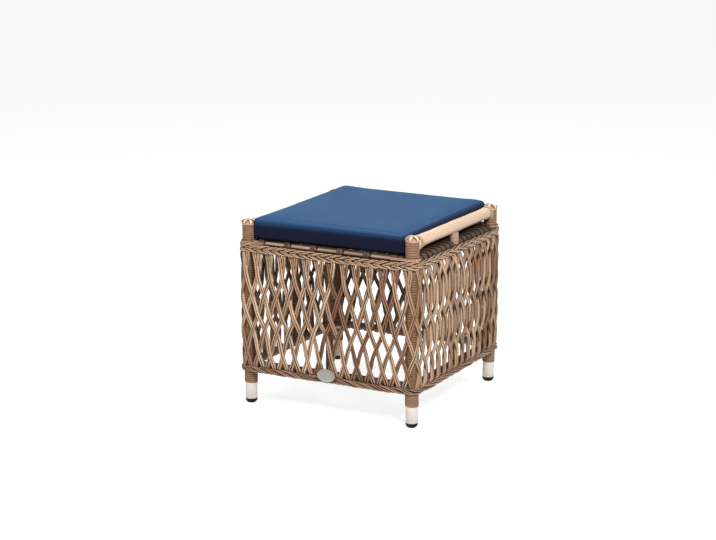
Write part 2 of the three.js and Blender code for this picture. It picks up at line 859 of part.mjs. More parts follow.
for (const [corner, [signX, signY]] of Object.entries(corners)) {
  const x = signX * legHalfSpacing;
  const y = signY * legHalfSpacing;
  addNode(`leg_${corner}`, makeLeg(x, y), 'tube');
  addNode(`glide_${corner}`, makeGlide(x, y), 'glide');
  addNode(`wrap_lower_${corner}`, makeWrap(wrapStart, lowerRailZ - railTop, x, y, true), 'wrap');
  addNode(`wrap_middle_${corner}`,
    makeWrap(lowerRailZ + railTop, seatRailZ - railTop, x, y, false), 'wrap');
  addNode(`wrap_upper_${corner}`,
    makeWrap(seatRailZ + railTop, capBase - clearance, x, y, true), 'wrap');
  addNode(`post_cap_${corner}`, makeCap(x, y), 'caneLight');
}

sides.forEach((side, turns) => {
  addNode(`lower_rail_${side}`, makeRail(lowerRailZ), 'rail', turns);
  addNode(`seat_rail_${side}`, makeRail(seatRailZ), 'rail', turns);
  addNode(`mid_post_${side}`, makeMidPost(), 'wrap', turns);
  addNode(`lattice_${side}`, makeLattice(), 'cane', turns);
  const seat = side === 'front' ? badgeBack - clearance : 0;
  addNode(`bottom_border_${side}`,
    makeBorder(bottomBorderBase, bottomBorderTop, ropePhaseShares, ropeLayStations, seat),
    'border', turns);
  addNode(`top_border_${side}`,
    makeBorder(topBorderBase, topBorderTop, braidPhaseShares, braidLayStations, 0),
    'border', turns);
});

['right', 'left'].forEach((side, place) => {
  addNode(`handle_rail_${side}`, makeHandle(), 'caneLight', 2 * place);
  addNode(`handle_spacer_${side}`, makeSpacer(), 'wrap', 2 * place);
});

addNode('seat_cross_bar', makeCrossBar(), 'rail');
addNode('seat_bands', makeSeatBands(), 'cane');
addNode('seat_binders', makeBinders(), 'cane');
addNode('badge_plate', makeBadge(), 'plate');
addNode('cushion_cover', makeCover(), 'cover');
addNode('cushion_foam', cushionForm(coverThickness + clearance), 'foam');
addNode('cushion_zip', makeZip(), 'zip');

export default group;
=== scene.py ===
import math
import random

import bmesh
import bpy
import numpy as np
from mathutils import Matrix, Vector
from mathutils.bvhtree import BVHTree


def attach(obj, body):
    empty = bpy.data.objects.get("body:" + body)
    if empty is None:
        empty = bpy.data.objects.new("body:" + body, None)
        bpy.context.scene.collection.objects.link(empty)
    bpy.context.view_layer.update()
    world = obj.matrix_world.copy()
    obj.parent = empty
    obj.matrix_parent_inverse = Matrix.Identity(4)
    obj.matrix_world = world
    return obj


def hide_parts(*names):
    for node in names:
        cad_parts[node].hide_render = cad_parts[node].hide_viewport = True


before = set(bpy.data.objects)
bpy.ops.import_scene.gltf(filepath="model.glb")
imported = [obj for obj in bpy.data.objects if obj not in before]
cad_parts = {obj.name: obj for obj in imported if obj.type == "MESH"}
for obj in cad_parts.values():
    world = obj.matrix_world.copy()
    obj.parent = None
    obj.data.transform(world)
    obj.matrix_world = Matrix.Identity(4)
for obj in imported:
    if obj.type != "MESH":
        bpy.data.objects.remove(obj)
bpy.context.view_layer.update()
scene = bpy.context.scene
print("frame loaded:", len(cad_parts), "solids")

corners = {"front_left": (-1, -1), "front_right": (1, -1), "back_right": (1, 1), "back_left": (-1, 1)}
sides = ["front", "right", "back", "left"]
handleSides = {"right": 1, "left": -1}

# sizes that several pieces share, in metres
stool = {
    "spread": 0.210,  # leg centres from the middle, each way
    "postRadius": 0.014,
    "windRadius": 0.0158,  # outside of the cane wound on the posts
    "weaveBend": 0.0199,  # bend of the woven sides round the corner posts
    "weaveBase": 0.098,
    "weaveTop": 0.362,
    "seatRail": 0.380,
    "lowerRail": 0.095,
    "railRadius": 0.009,
    "seatBase": 0.3893,
    "seatTop": 0.3919,
    "endGap": 0.0135,  # rails and handles stop this far from the leg centres
    "handleHeight": 0.4219,
    "handleRadius": 0.013,
    "capBase": 0.4283,
}
spread = stool["spread"]
sideHalf = spread + stool["weaveBend"] * math.pi / 4
lap = 8 * sideHalf  # once round the weave
fullTurn = 2 * math.pi


# small helpers

def tint(red, green, blue):
    def linear(value):
        value /= 255
        return value / 12.92 if value <= 0.04045 else ((value + 0.055) / 1.055) ** 2.4
    return (linear(red), linear(green), linear(blue), 1)


def link(item):
    scene.collection.objects.link(item)
    return item


def smooth(value):
    value = np.clip(value, 0, 1)
    return value * value * (3 - 2 * value)


def anyPhase(dice):
    return dice.uniform(0, 6.3)


def spreadTone(tone, dice, reach):
    return min(max(tone + dice.uniform(-reach, reach), 0), 1)


def toMesh(name, bm, smoothFaces=True):
    mesh = bpy.data.meshes.new(name)
    bmesh.ops.recalc_face_normals(bm, faces=bm.faces)
    bm.to_mesh(mesh)
    bm.free()
    mesh.polygons.foreach_set("use_smooth", [smoothFaces] * len(mesh.polygons))
    return mesh


def newPiece(name, bm, material, smoothFaces=True):
    mesh = toMesh(name, bm, smoothFaces)
    mesh.materials.append(material)
    return link(bpy.data.objects.new(name, mesh))


def finishPiece(piece, slot, *nodes, body="frame"):
    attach(piece, body)
    if nodes:
        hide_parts(*nodes)
    print("  ", piece.name, len(piece.data.polygons), "faces")


# faces between rings of points; a ring may be a single point
def joinRings(bm, rings):
    for low, high in zip(rings, rings[1:]):
        count = max(len(low), len(high))
        for i in range(count):
            j = (i + 1) % count
            if len(low) == 1:
                bm.faces.new((low[0], high[j], high[i]))
            elif len(high) == 1:
                bm.faces.new((low[i], low[j], high[0]))
            else:
                bm.faces.new((low[i], low[j], high[j], high[i]))


# a round solid on a vertical axis, from (radius, height) pairs
def turnedMesh(profile, x, y, steps, closed=False):
    bm = bmesh.new()
    rings = []
    for radius, z in profile:
        turns = [fullTurn * i / steps for i in range(steps)] if radius else [0]
        rings.append([bm.verts.new((x + radius * math.cos(turn), y + radius * math.sin(turn), z))
                      for turn in turns])
    joinRings(bm, rings + rings[:1] if closed else rings)
    return bm


# a solid cane from rings of (point, fibre place, place on the section)
def solidCane(rings, tone, seam):
    bm = bmesh.new()
    vectorLayers, numberLayers = bm.verts.layers.float_vector, bm.verts.layers.float
    for label in ("caneSpace", "section"):
        vectorLayers.new(label)
    for label in ("tone", "seam"):
        numberLayers.new(label)
    made = []
    for ring in rings:
        made.append([])
        for point, fibre, side in ring:
            vert = bm.verts.new(point)
            vert[vectorLayers["caneSpace"]], vert[vectorLayers["section"]] = fibre, side
            vert[numberLayers["tone"]], vert[numberLayers["seam"]] = tone, seam
            made[-1].append(vert)
    joinRings(bm, made)
    bm.faces.new(made[0])
    bm.faces.new(list(reversed(made[-1])))
    return bm


# nodes: an input takes a node's output as a link and anything else as its value

def setInputs(tree, node, values):
    for key, value in values.items():
        if isinstance(value, bpy.types.NodeSocket):
            tree.links.new(value, node.inputs[key])
        else:
            node.inputs[key].default_value = value


def addNode(tree, kind, inputs=None, **settings):
    node = tree.nodes.new(kind)
    for key, value in settings.items():
        setattr(node, key, value)
    setInputs(tree, node, inputs or {})
    return node.outputs


def maths(tree, operation, *values):
    return addNode(tree, "ShaderNodeMath", dict(enumerate(values)), operation=operation)[0]


def vectors(tree, operation, first, second):
    other = "Scale" if operation == "SCALE" else 1
    return addNode(tree, "ShaderNodeVectorMath", {0: first, other: second}, operation=operation)[0]


def combine(tree, x=0.0, y=0.0, z=0.0):
    return addNode(tree, "ShaderNodeCombineXYZ", {"X": x, "Y": y, "Z": z})[0]


def remap(tree, value, start, end, low=0.0, high=1.0, curve="LINEAR"):
    return addNode(tree, "ShaderNodeMapRange", {
        "Value": value, "From Min": start, "From Max": end, "To Min": low, "To Max": high},
        interpolation_type=curve)[0]


def noise(tree, place, scale, detail, roughness=0.5):
    return addNode(tree, "ShaderNodeTexNoise", {"Vector": place, "Scale": scale, "Detail": detail,
                                                "Roughness": roughness})["Fac"]


def readAttribute(tree, name, output="Fac"):
    return addNode(tree, "ShaderNodeAttribute", attribute_name=name)[output]


def objectPlace(tree):
    return addNode(tree, "ShaderNodeTexCoord")["Object"]


# the colours lie evenly from the first to the last
def colourRamp(tree, value, colours):
    ramp = tree.nodes.new("ShaderNodeValToRGB")
    setInputs(tree, ramp, {"Fac": value})
    stops = ramp.color_ramp.elements
    while len(stops) < len(colours):
        stops.new(0.5)
    for number, colour in enumerate(colours):
        stops[number].position = number / (len(colours) - 1)
        stops[number].color = tint(*colour)
    return ramp.outputs["Color"]


def newGroup(name, inputs, outputs, kind="ShaderNodeTree"):
    tree = bpy.data.node_groups.new(name, kind)
    for label, (socketKind, value) in inputs.items():
        socket = tree.interface.new_socket(label, in_out="INPUT", socket_type="NodeSocket" + socketKind)
        if value is not None:
            socket.default_value = value
    for label, socketKind in outputs.items():
        tree.interface.new_socket(label, in_out="OUTPUT", socket_type="NodeSocket" + socketKind)
    return tree, tree.nodes.new("NodeGroupInput").outputs, tree.nodes.new("NodeGroupOutput")


# shader groups

# fibres run along a cane: caneSpace holds a point on its round section and its place along it
def makeFibres():
    tree, given, result = newGroup("caneFibres", {"Fineness": ("Float", 1000.0), "Stretch": ("Float", 26.0)},
                                   {"Streaks": "Float", "Blotches": "Float", "Height": "Float"})
    tone = readAttribute(tree, "tone")
    away = combine(tree, *[maths(tree, "MULTIPLY", tone, reach) for reach in (3.1, 1.7, 9.3)])
    shifted = vectors(tree, "ADD", readAttribute(tree, "caneSpace", "Vector"), away)
    scale = combine(tree, given["Fineness"], given["Fineness"], given["Stretch"])
    drawn = vectors(tree, "MULTIPLY", shifted, scale)
    fine = noise(tree, drawn, 1.0, 4.0, 0.62)
    wide = noise(tree, drawn, 0.28, 2.0)
    setInputs(tree, result, {"Streaks": remap(tree, fine, 0.32, 0.7), "Blotches": remap(tree, wide, 0.3, 0.7),
                             "Height": fine})
    return tree


# dust, small scuffs and an uneven skin, read from Object coordinates
def makeWear():
    tree, given, result = newGroup("wear", {
        "Colour": ("Color", (0.5, 0.5, 0.5, 1)), "Dust": ("Color", (0.5, 0.45, 0.4, 1)),
        "Amount": ("Float", 0.2), "Scale": ("Float", 60.0), "Roughness": ("Float", 0.4)},
        {"Colour": "Color", "Roughness": "Float", "Height": "Float"})
    place = objectPlace(tree)
    cloud = noise(tree, place, given["Scale"], 5.0, 0.6)
    mask = remap(tree, cloud, 0.5, 0.75, 0.0, given["Amount"])
    mix = addNode(tree, "ShaderNodeMix", {0: mask, 6: given["Colour"], 7: given["Dust"]}, data_type="RGBA")
    setInputs(tree, result, {"Colour": mix[2], "Height": noise(tree, place, 900.0, 2.0),
                             "Roughness": maths(tree, "MULTIPLY_ADD", mask, 0.5, given["Roughness"])})
    return tree


# over and under threads of a plain weave on the piece's own UV map, which is in metres
def makeWeaveGroup():
    tree, given, result = newGroup("plainWeave", {"Threads": ("Float", 1100.0)},
                                   {"Height": "Float", "Shade": "Float"})
    flat = addNode(tree, "ShaderNodeUVMap", uv_map="panel")[0]
    parts = addNode(tree, "ShaderNodeSeparateXYZ", {0: flat})
    waves, cells = [], []
    for axis in (0, 1):
        count = maths(tree, "MULTIPLY", parts[axis], given["Threads"])
        wave = maths(tree, "SINE", maths(tree, "MULTIPLY", count, math.pi))
        waves.append(maths(tree, "ABSOLUTE", wave))
        cells.append(maths(tree, "FLOOR", count))
    over = maths(tree, "FLOORED_MODULO", maths(tree, "ADD", *cells), 2.0)
    height = addNode(tree, "ShaderNodeMix", {0: over, 2: waves[0], 3: waves[1]})[0]
    thread = combine(tree, cells[0], over)
    slub = addNode(tree, "ShaderNodeTexWhiteNoise", {"Vector": thread}, noise_dimensions="3D")
    setInputs(tree, result, {"Height": height, "Shade": slub["Value"]})
    return tree


# painted shade and highlight: canes are shaded in the groove beside a neighbour and on their flanks, the side
# turned inwards is shaded or lit by Inside, and the crest turned outwards gets a painted highlight
def makeShadeAndHighlight():
    tree, given, result = newGroup("caneShadeAndHighlight", {
        "Groove": ("Float", 0.5), "Inside": ("Float", 1.0), "Flank": ("Float", 0.88)}, {"Shade": "Vector"})
    section = addNode(tree, "ShaderNodeSeparateXYZ", {0: readAttribute(tree, "section", "Vector")})
    seam = readAttribute(tree, "seam")  # -1 or 1 with a neighbour on that side, 2 with one on each
    oneSide = maths(tree, "MINIMUM", maths(tree, "MULTIPLY", section["Y"], seam), 1.0)
    oneSide = maths(tree, "MULTIPLY", oneSide, maths(tree, "LESS_THAN", seam, 1.5))
    away = maths(tree, "ABSOLUTE", section["Y"])
    bothSides = maths(tree, "MULTIPLY", maths(tree, "GREATER_THAN", seam, 1.5), away)
    near = maths(tree, "MAXIMUM", oneSide, bothSides)
    groove = remap(tree, near, 0.3, 0.92, 1.0, given["Groove"], "SMOOTHSTEP")
    # painted shade or light on the side turned inwards, painted shade on the flanks and a painted highlight on
    # the crest
    inside = remap(tree, section["X"], -0.8, -0.1, given["Inside"], 1.0)
    crest = remap(tree, section["X"], 0.1, 0.95, given["Flank"], 1.26)
    shade = maths(tree, "MULTIPLY", maths(tree, "MULTIPLY", groove, inside), crest)
    # the painted shade is made redder than the lit parts, and the painted highlight paler
    warm = combine(tree, shade, maths(tree, "POWER", shade, 1.36), maths(tree, "POWER", shade, 1.75))
    setInputs(tree, result, {"Shade": warm})
    return tree


fibreGroup = makeFibres()
shadeHighlightGroup = makeShadeAndHighlight()
wearGroup = makeWear()
weaveGroup = makeWeaveGroup()


# materials

def newMaterial(name, sockets):
    material = bpy.data.materials.new(name)
    material.use_nodes = True
    tree = material.node_tree
    shader = tree.nodes["Principled BSDF"]
    setInputs(tree, shader, sockets)
    return material, tree, shader


def addGroup(tree, group, inputs):
    return addNode(tree, "ShaderNodeGroup", inputs, node_tree=group)


def addBump(tree, shader, height, strength, distance):
    bump = addNode(tree, "ShaderNodeBump", {"Height": height, "Strength": strength, "Distance": distance})
    setInputs(tree, shader, {"Normal": bump[0]})


# cane: tones holds the colours that strands are dyed, from the first to the last
def caneMaterial(name, look):
    material, tree, shader = newMaterial(name, {
        "Specular IOR Level": look["shine"], "Coat Weight": look["coat"], "Coat Roughness": 0.35})
    fibres = addGroup(tree, fibreGroup, {"Fineness": look["fineness"], "Stretch": look["stretch"]})
    # painted shade and highlight multiply the cane's colour
    paintedShading = addGroup(tree, shadeHighlightGroup, {
        "Groove": look["groove"], "Inside": look["inside"], "Flank": look["flank"]})
    dye = maths(tree, "MULTIPLY_ADD", readAttribute(tree, "copyTone"), 0.5, readAttribute(tree, "tone"))
    grain = remap(tree, fibres["Streaks"], 0, 1, *look["grain"])
    patch = remap(tree, fibres["Blotches"], 0, 1, *look["patch"])
    colour = vectors(tree, "SCALE", colourRamp(tree, dye, look["tones"]), maths(tree, "MULTIPLY", grain, patch))
    setInputs(tree, shader, {"Base Color": vectors(tree, "MULTIPLY", colour, paintedShading["Shade"]),
                             "Roughness": remap(tree, fibres["Streaks"], 0, 1, *look["rough"])})
    addBump(tree, shader, fibres["Height"], look["bump"], 0.0005)
    return material


def wornMaterial(name, look, sockets=None):
    material, tree, shader = newMaterial(name, sockets or {})
    wear = addGroup(tree, wearGroup, {
        "Colour": tint(*look["colour"]), "Dust": tint(*look["dust"]), "Amount": look["amount"],
        "Scale": look["scale"], "Roughness": look["rough"]})
    setInputs(tree, shader, {"Base Color": wear["Colour"], "Roughness": wear["Roughness"]})
    addBump(tree, shader, wear["Height"], look["bump"], 0.0002)
    return material


# groove, inside and flank set the painted shade in the grooves, the painted shade or light on the side turned
# inwards, and the painted shade on the flanks
caneLook = {
    "tones": [(126, 88, 64), (148, 112, 86), (178, 136, 108), (164, 138, 114), (190, 152, 118),
              (212, 180, 150)],
    "grain": (0.6, 1.32), "patch": (0.82, 1.12), "rough": (0.4, 0.58), "bump": 0.45, "fineness": 1000.0,
    "stretch": 26.0, "shine": 0.3, "coat": 0.0, "groove": 0.1, "inside": 1.3, "flank": 0.88,
}
windingLook = {**caneLook, "tones": [(156, 124, 97), (172, 138, 110), (190, 155, 128)], "patch": (0.86, 1.1),
               "stretch": 40.0, "groove": 0.56, "inside": 1.0}
# painted shade: a darker copy of the winding tones, for the wound cane in shade behind the woven sides and on
# the mid posts
shadedTones = [(138, 104, 76), (152, 117, 87), (166, 131, 101)]
edgeLook = {**caneLook, "inside": 1.0, "groove": 0.4,
            "tones": [(122, 96, 80), (152, 124, 106), (180, 152, 134)]}
collarLook = {**edgeLook, "groove": 0.3, "tones": [(168, 122, 104), (192, 146, 124), (206, 166, 140)]}
# painted shade: the seat cane is much darker than the woven sides, as it lies in shade under the cushion and
# handles
seatLook = {**edgeLook, "groove": 0.12, "tones": [(66, 51, 40), (90, 73, 60), (114, 94, 77)]}
handleLook = {**caneLook, "tones": [(228, 192, 162), (242, 212, 182), (252, 230, 208)], "grain": (0.88, 1.06),
              "patch": (0.84, 1.1), "rough": (0.26, 0.38), "bump": 0.16, "fineness": 420.0, "stretch": 9.0,
              "shine": 0.5, "coat": 0.3, "groove": 0.5, "inside": 1.0}
capTones = [(188, 150, 116), (206, 170, 136), (224, 192, 160)]

# the woven sides get a deeper painted shade on their flanks
cane = caneMaterial("wovenCane", {**caneLook, "flank": 0.66})
borderCane = caneMaterial("borderCane", {**caneLook, "groove": 0.06, "inside": 1.2})
# painted shade: the cores under the braids and the seat edges are dark brown so the gaps between canes read as
# shaded
darkCane = caneMaterial("innerCane", {**caneLook, "tones": [(66, 38, 24), (84, 50, 34)], "grain": (0.8, 1.1)})
windingCane = caneMaterial("woundCane", windingLook)
shadedCane = caneMaterial("shadedCane", {**windingLook, "tones": shadedTones})
edgeCane = caneMaterial("edgeCane", edgeLook)
collarCane = caneMaterial("collarCane", collarLook)
seatCane = caneMaterial("seatCane", seatLook)
handleCane = caneMaterial("peeledCane", handleLook)
capCane = caneMaterial("capCane", {**handleLook, "tones": capTones, "groove": 0.3})
legMetal = wornMaterial("creamMetal", {
    "colour": (240, 229, 219), "dust": (200, 186, 168), "amount": 0.3, "scale": 70.0, "rough": 0.34,
    "bump": 0.12}, {"Metallic": 0.15})
framePaint = wornMaterial("framePaint", {
    "colour": (122, 92, 70), "dust": (140, 110, 86), "amount": 0.4, "scale": 60.0, "rough": 0.5, "bump": 0.2})
# painted shade: the seat rails and cross bar are a darker copy of the frame paint, as they lie in shade under
# the seat
railPaint = wornMaterial("railPaint", {
    "colour": (56, 40, 30), "dust": (72, 54, 42), "amount": 0.4, "scale": 60.0, "rough": 0.6, "bump": 0.2})
glidePlastic = wornMaterial("glidePlastic", {
    "colour": (4, 4, 4), "dust": (20, 19, 18), "amount": 0.2, "scale": 120.0, "rough": 0.42, "bump": 0.15},
    {"Specular IOR Level": 0.14})
zipMetal = wornMaterial("zipMetal", {
    "colour": (92, 98, 108), "dust": (60, 60, 64), "amount": 0.5, "scale": 200.0, "rough": 0.3, "bump": 0.1},
    {"Metallic": 0.9})
tapeCloth = wornMaterial("tapeCloth", {
    "colour": (14, 17, 36), "dust": (26, 32, 56), "amount": 0.3, "scale": 90.0, "rough": 0.8, "bump": 0.3})
threadCloth = wornMaterial("threadCloth", {
    "colour": (22, 28, 54), "dust": (40, 50, 80), "amount": 0.3, "scale": 400.0, "rough": 0.7, "bump": 0.2})
print("materials made")


# geometry node trees

def newTree(name, inputs):
    inputs = {"Geometry": ("Geometry", None), **inputs, "Material": ("Material", None)}
    tree, given, result = newGroup(name, inputs, {"Geometry": "Geometry"}, "GeometryNodeTree")
    tree.is_modifier = True
    return tree, given, result


def endTree(tree, given, result, geometry):
    solid = addNode(tree, "GeometryNodeRealizeInstances", {"Geometry": geometry})[0]
    painted = addNode(tree, "GeometryNodeSetMaterial", {"Geometry": solid, "Material": given["Material"]})[0]
    setInputs(tree, result, {"Geometry": painted})
    return tree


def storeOn(tree, geometry, name, kind, value, domain="POINT"):
    return addNode(tree, "GeometryNodeStoreNamedAttribute", {
        "Geometry": geometry, "Name": name, "Value": value}, data_type=kind, domain=domain)[0]


def stored(tree, name, kind="FLOAT"):
    return addNode(tree, "GeometryNodeInputNamedAttribute", {"Name": name}, data_type=kind)[0]


# the geometry and the value as it is at each of its points now
def capture(tree, geometry, kind, label, value):
    kept = tree.nodes.new("GeometryNodeCaptureAttribute")
    kept.capture_items.new(kind, label)
    setInputs(tree, kept, {"Geometry": geometry, 1: value})
    return kept.outputs[0], kept.outputs[1]


# lines of edges as curves that keep their stored outward side
def facingCurve(tree, lines):
    curve = addNode(tree, "GeometryNodeMeshToCurve", {"Mesh": lines})[0]
    outward = stored(tree, "outward", "FLOAT_VECTOR")
    return addNode(tree, "GeometryNodeSetCurveNormal", {"Curve": curve, "Normal": outward}, mode="FREE")[0]


# sweeps the profile along the curve and stores each point's place on the section, from -1 to 1 outwards and
# sideways, its fibre coordinates, its tone and which edges have a neighbour
def sweepProfile(tree, curve, profile, look):
    profile, place = capture(tree, profile, "VECTOR", "Section", addNode(tree, "GeometryNodeInputPosition")[0])
    geometry = addNode(tree, "GeometryNodeCurveToMesh", {"Curve": curve, "Profile Curve": profile,
                                                         "Scale": look["scale"], "Fill Caps": True})[0]
    section = vectors(tree, "DIVIDE", place, look["half"])
    point = vectors(tree, "ADD", vectors(tree, "SCALE", place, look["scale"]), combine(tree, z=look["along"]))
    for name, kind, value in (("section", "FLOAT_VECTOR", section), ("caneSpace", "FLOAT_VECTOR", point),
                              ("tone", "FLOAT", look["tone"]), ("seam", "FLOAT", look["seam"])):
        geometry = storeOn(tree, geometry, name, kind, value)
    return addNode(tree, "GeometryNodeSetShadeSmooth", {"Geometry": geometry})[0]


# canes along lines of edges that carry their radius, tone, length and outward direction
def makeCaneTree():
    tree, given, result = newTree("canesAlongLines", {"Sides": ("Int", 8), "Flatness": ("Float", 1.0)})
    ring = addNode(tree, "GeometryNodeCurvePrimitiveCircle", {"Resolution": given["Sides"], "Radius": 1.0})[0]
    stretch = combine(tree, given["Flatness"], 1.0, 1.0)
    oval = addNode(tree, "GeometryNodeTransform", {"Geometry": ring, "Scale": stretch})[0]
    canes = sweepProfile(tree, facingCurve(tree, given["Geometry"]), oval, {
        "scale": stored(tree, "caneRadius"), "half": stretch, "along": stored(tree, "along"),
        "tone": stored(tree, "tone"), "seam": stored(tree, "seam")})
    return endTree(tree, given, result, canes)


# a flat strip wound in a close helix round each point of the piece's own mesh
def makeWindingTree():
    tree, given, result = newTree("windingRoundPost", {
        "Inner Radius": ("Float", 0.0143), "Length": ("Float", 0.3), "Turns": ("Float", 50.0),
        "Strip Width": ("Float", 0.0054), "Strip Thickness": ("Float", 0.0013),
        "Unevenness": ("Float", 0.00025), "Seed": ("Int", 1), "Tone": ("Float", 0.5)})
    width, thickness = given["Strip Width"], given["Strip Thickness"]
    reach = maths(tree, "MULTIPLY_ADD", thickness, 0.5, given["Inner Radius"])
    spiral = addNode(tree, "GeometryNodeCurveSpiral", {
        "Resolution": 24, "Rotations": given["Turns"], "Start Radius": reach, "End Radius": reach,
        "Height": given["Length"]})[0]
    where = vectors(tree, "MULTIPLY", addNode(tree, "GeometryNodeInputPosition")[0], (60, 60, 130))
    drift = addNode(tree, "ShaderNodeTexNoise", {
        "Vector": where, "Scale": 1.0, "Detail": 1.0, "W": given["Seed"]}, noise_dimensions="4D")["Fac"]
    lift = maths(tree, "MULTIPLY", maths(tree, "SUBTRACT", drift, 0.5), given["Unevenness"])
    wavy = addNode(tree, "GeometryNodeSetPosition", {"Geometry": spiral, "Offset": combine(tree, z=lift)})[0]
    upright = addNode(tree, "GeometryNodeSetCurveNormal", {"Curve": wavy}, mode="Z_UP")[0]
    helix, run = capture(tree, upright, "FLOAT", "Run", addNode(tree, "GeometryNodeSplineParameter")["Length"])
    strip = addNode(tree, "GeometryNodeCurvePrimitiveQuadrilateral", {"Width": thickness, "Height": width})[0]
    softStrip = addNode(tree, "GeometryNodeFilletCurve", {
        "Curve": strip, "Count": 1, "Radius": maths(tree, "MULTIPLY", thickness, 0.45)}, mode="POLY")[0]
    half = vectors(tree, "SCALE", combine(tree, thickness, width, 1.0), 0.5)
    winding = sweepProfile(tree, helix, softStrip, {"scale": 1.0, "half": half, "along": run,
                                                    "tone": given["Tone"], "seam": 2.0})
    turn = addNode(tree, "FunctionNodeRandomValue", {"Max": (0, 0, 6.28), "Seed": given["Seed"]},
                   data_type="FLOAT_VECTOR")[0]
    stands = addNode(tree, "GeometryNodeInstanceOnPoints", {"Points": given["Geometry"], "Instance": winding,
                                                            "Rotation": turn})[0]
    return endTree(tree, given, result, stands)


# copies of the piece's own mesh in a row, each a little off true
def makeRowTree():
    tree, given, result = newTree("copiesInARow", {
        "Count": ("Int", 4), "Step": ("Vector", (0.0, 0.02, 0.0)), "Wobble": ("Float", 0.004),
        "Seed": ("Int", 1)})
    row = addNode(tree, "GeometryNodeMeshLine", {"Count": given["Count"], "Offset": given["Step"]})[0]
    low = combine(tree, z=maths(tree, "MULTIPLY", given["Wobble"], -1.0))
    high = combine(tree, z=given["Wobble"])
    turn = addNode(tree, "FunctionNodeRandomValue", {0: low, 1: high, "Seed": given["Seed"]},
                   data_type="FLOAT_VECTOR")[0]
    copies = addNode(tree, "GeometryNodeInstanceOnPoints", {"Points": row, "Instance": given["Geometry"],
                                                            "Rotation": turn})[0]
    shade = addNode(tree, "FunctionNodeRandomValue", {"Seed": given["Seed"]}, data_type="FLOAT")[1]
    return endTree(tree, given, result, storeOn(tree, copies, "copyTone", "FLOAT", shade, "INSTANCE"))


# small copies of one object set along lines of edges, turned to follow them
def makeBeadTree():
    tree, given, result = newTree("beadsAlongLines", {"Bead": ("Object", None), "Spacing": ("Float", 0.004)})
    points = addNode(tree, "GeometryNodeCurveToPoints", {
        "Curve": facingCurve(tree, given["Geometry"]), "Length": given["Spacing"]}, mode="LENGTH")
    bead = addNode(tree, "GeometryNodeObjectInfo", {"Object": given["Bead"]})["Geometry"]
    copies = addNode(tree, "GeometryNodeInstanceOnPoints", {
        "Points": points["Points"], "Instance": bead, "Rotation": points["Rotation"]})[0]
    return endTree(tree, given, result, copies)


caneTree = makeCaneTree()
windingTree = makeWindingTree()
rowTree = makeRowTree()
beadTree = makeBeadTree()


def finalMesh(item):
    bpy.context.view_layer.update()
    graph = bpy.context.evaluated_depsgraph_get()
    return bpy.data.meshes.new_from_object(item.evaluated_get(graph), preserve_all_data_layers=True,
                                           depsgraph=graph)


def runTree(name, mesh, tree, values):
    carrier = link(bpy.data.objects.new(name + "Carrier", mesh))
    modifier = carrier.modifiers.new("nodes", "NODES")
    modifier.node_group = tree
    sockets = {item.name: item.identifier for item in tree.interface.items_tree if item.in_out == "INPUT"}
    for label, value in values.items():
        modifier[sockets[label]] = value
    made = finalMesh(carrier)
    made.name = name
    bpy.data.objects.remove(carrier)
    return link(bpy.data.objects.new(name, made))


# the outward direction at each point of a line, made square to the line
def squareOut(path, outward, closed):
    if closed:
        tangent = np.roll(path, -1, axis=0) - np.roll(path, 1, axis=0)
    else:
        tangent = np.gradient(path, axis=0)
    tangent /= np.linalg.norm(tangent, axis=1, keepdims=True)
    if outward is None:
        outward = np.eye(3)[np.argmin(np.abs(tangent).mean(axis=0))]
    out = np.array(np.broadcast_to(outward, path.shape), float)
    out -= tangent * (out * tangent).sum(axis=1, keepdims=True)
    return out / np.linalg.norm(out, axis=1, keepdims=True)


# each line is a dictionary: points, radius, tone, and may have outward, seam and closed
def linesMesh(name, lines):
    points, edges = [], []
    values = {"caneRadius": [], "tone": [], "seam": [], "along": [], "outward": []}
    for line in lines:
        first = len(points)
        path = np.asarray(line["points"], float)
        count = len(path)
        points += path.tolist()
        edges += [(first + i, first + i + 1) for i in range(count - 1)]
        if line.get("closed"):
            edges.append((first + count - 1, first))
        values["caneRadius"] += [line["radius"]] * count
        values["tone"] += [line["tone"]] * count
        values["seam"] += [line.get("seam", 0)] * count
        values["along"] += [0, *np.cumsum(np.linalg.norm(np.diff(path, axis=0), axis=1)).tolist()]
        values["outward"] += squareOut(path, line.get("outward"), line.get("closed", False)).ravel().tolist()
    mesh = bpy.data.meshes.new(name + "Lines")
    mesh.from_pydata(points, edges, [])
    for label, numbers in values.items():
        kind, key = ("FLOAT_VECTOR", "vector") if label == "outward" else ("FLOAT", "value")
        mesh.attributes.new(label, kind, "POINT").data.foreach_set(key, numbers)
    return mesh


def sweepLines(name, lines, material, sidesRound=8, flatness=1.0):
    return runTree(name, linesMesh(name, lines), caneTree,
                   {"Sides": sidesRound, "Flatness": flatness, "Material": material})


# points round a vertical axis, and which way each faces
def roundAxis(x, y, z, reach, angle):
    out = np.stack([np.cos(angle), np.sin(angle), np.zeros(len(angle))], axis=-1)
    points = np.stack(np.broadcast_arrays(x + reach * out[:, 0], y + reach * out[:, 1], z), axis=-1)
    return {"points": points, "outward": out}


def evenAngles(steps):
    return np.arange(steps) * 2 * np.pi / steps


# the path round the four woven sides

# place is measured along the weave from the front left corner, depth outwards from the leg centres
def around(place, depth, height):
    place, depth, height = np.broadcast_arrays(np.asarray(place, float), depth, height)
    onLap = np.mod(place, lap)
    side = np.floor(onLap / (2 * sideHalf))
    along = onLap - (2 * side + 1) * sideHalf
    straight = np.minimum(np.abs(along), spread)
    angle = np.maximum(np.abs(along) - spread, 0) / stool["weaveBend"]
    x = np.sign(along) * (straight + depth * np.sin(angle))
    y = -spread - depth * np.cos(angle)
    turn = side * math.pi / 2
    return np.stack([x * np.cos(turn) - y * np.sin(turn), x * np.sin(turn) + y * np.cos(turn), height], axis=-1)


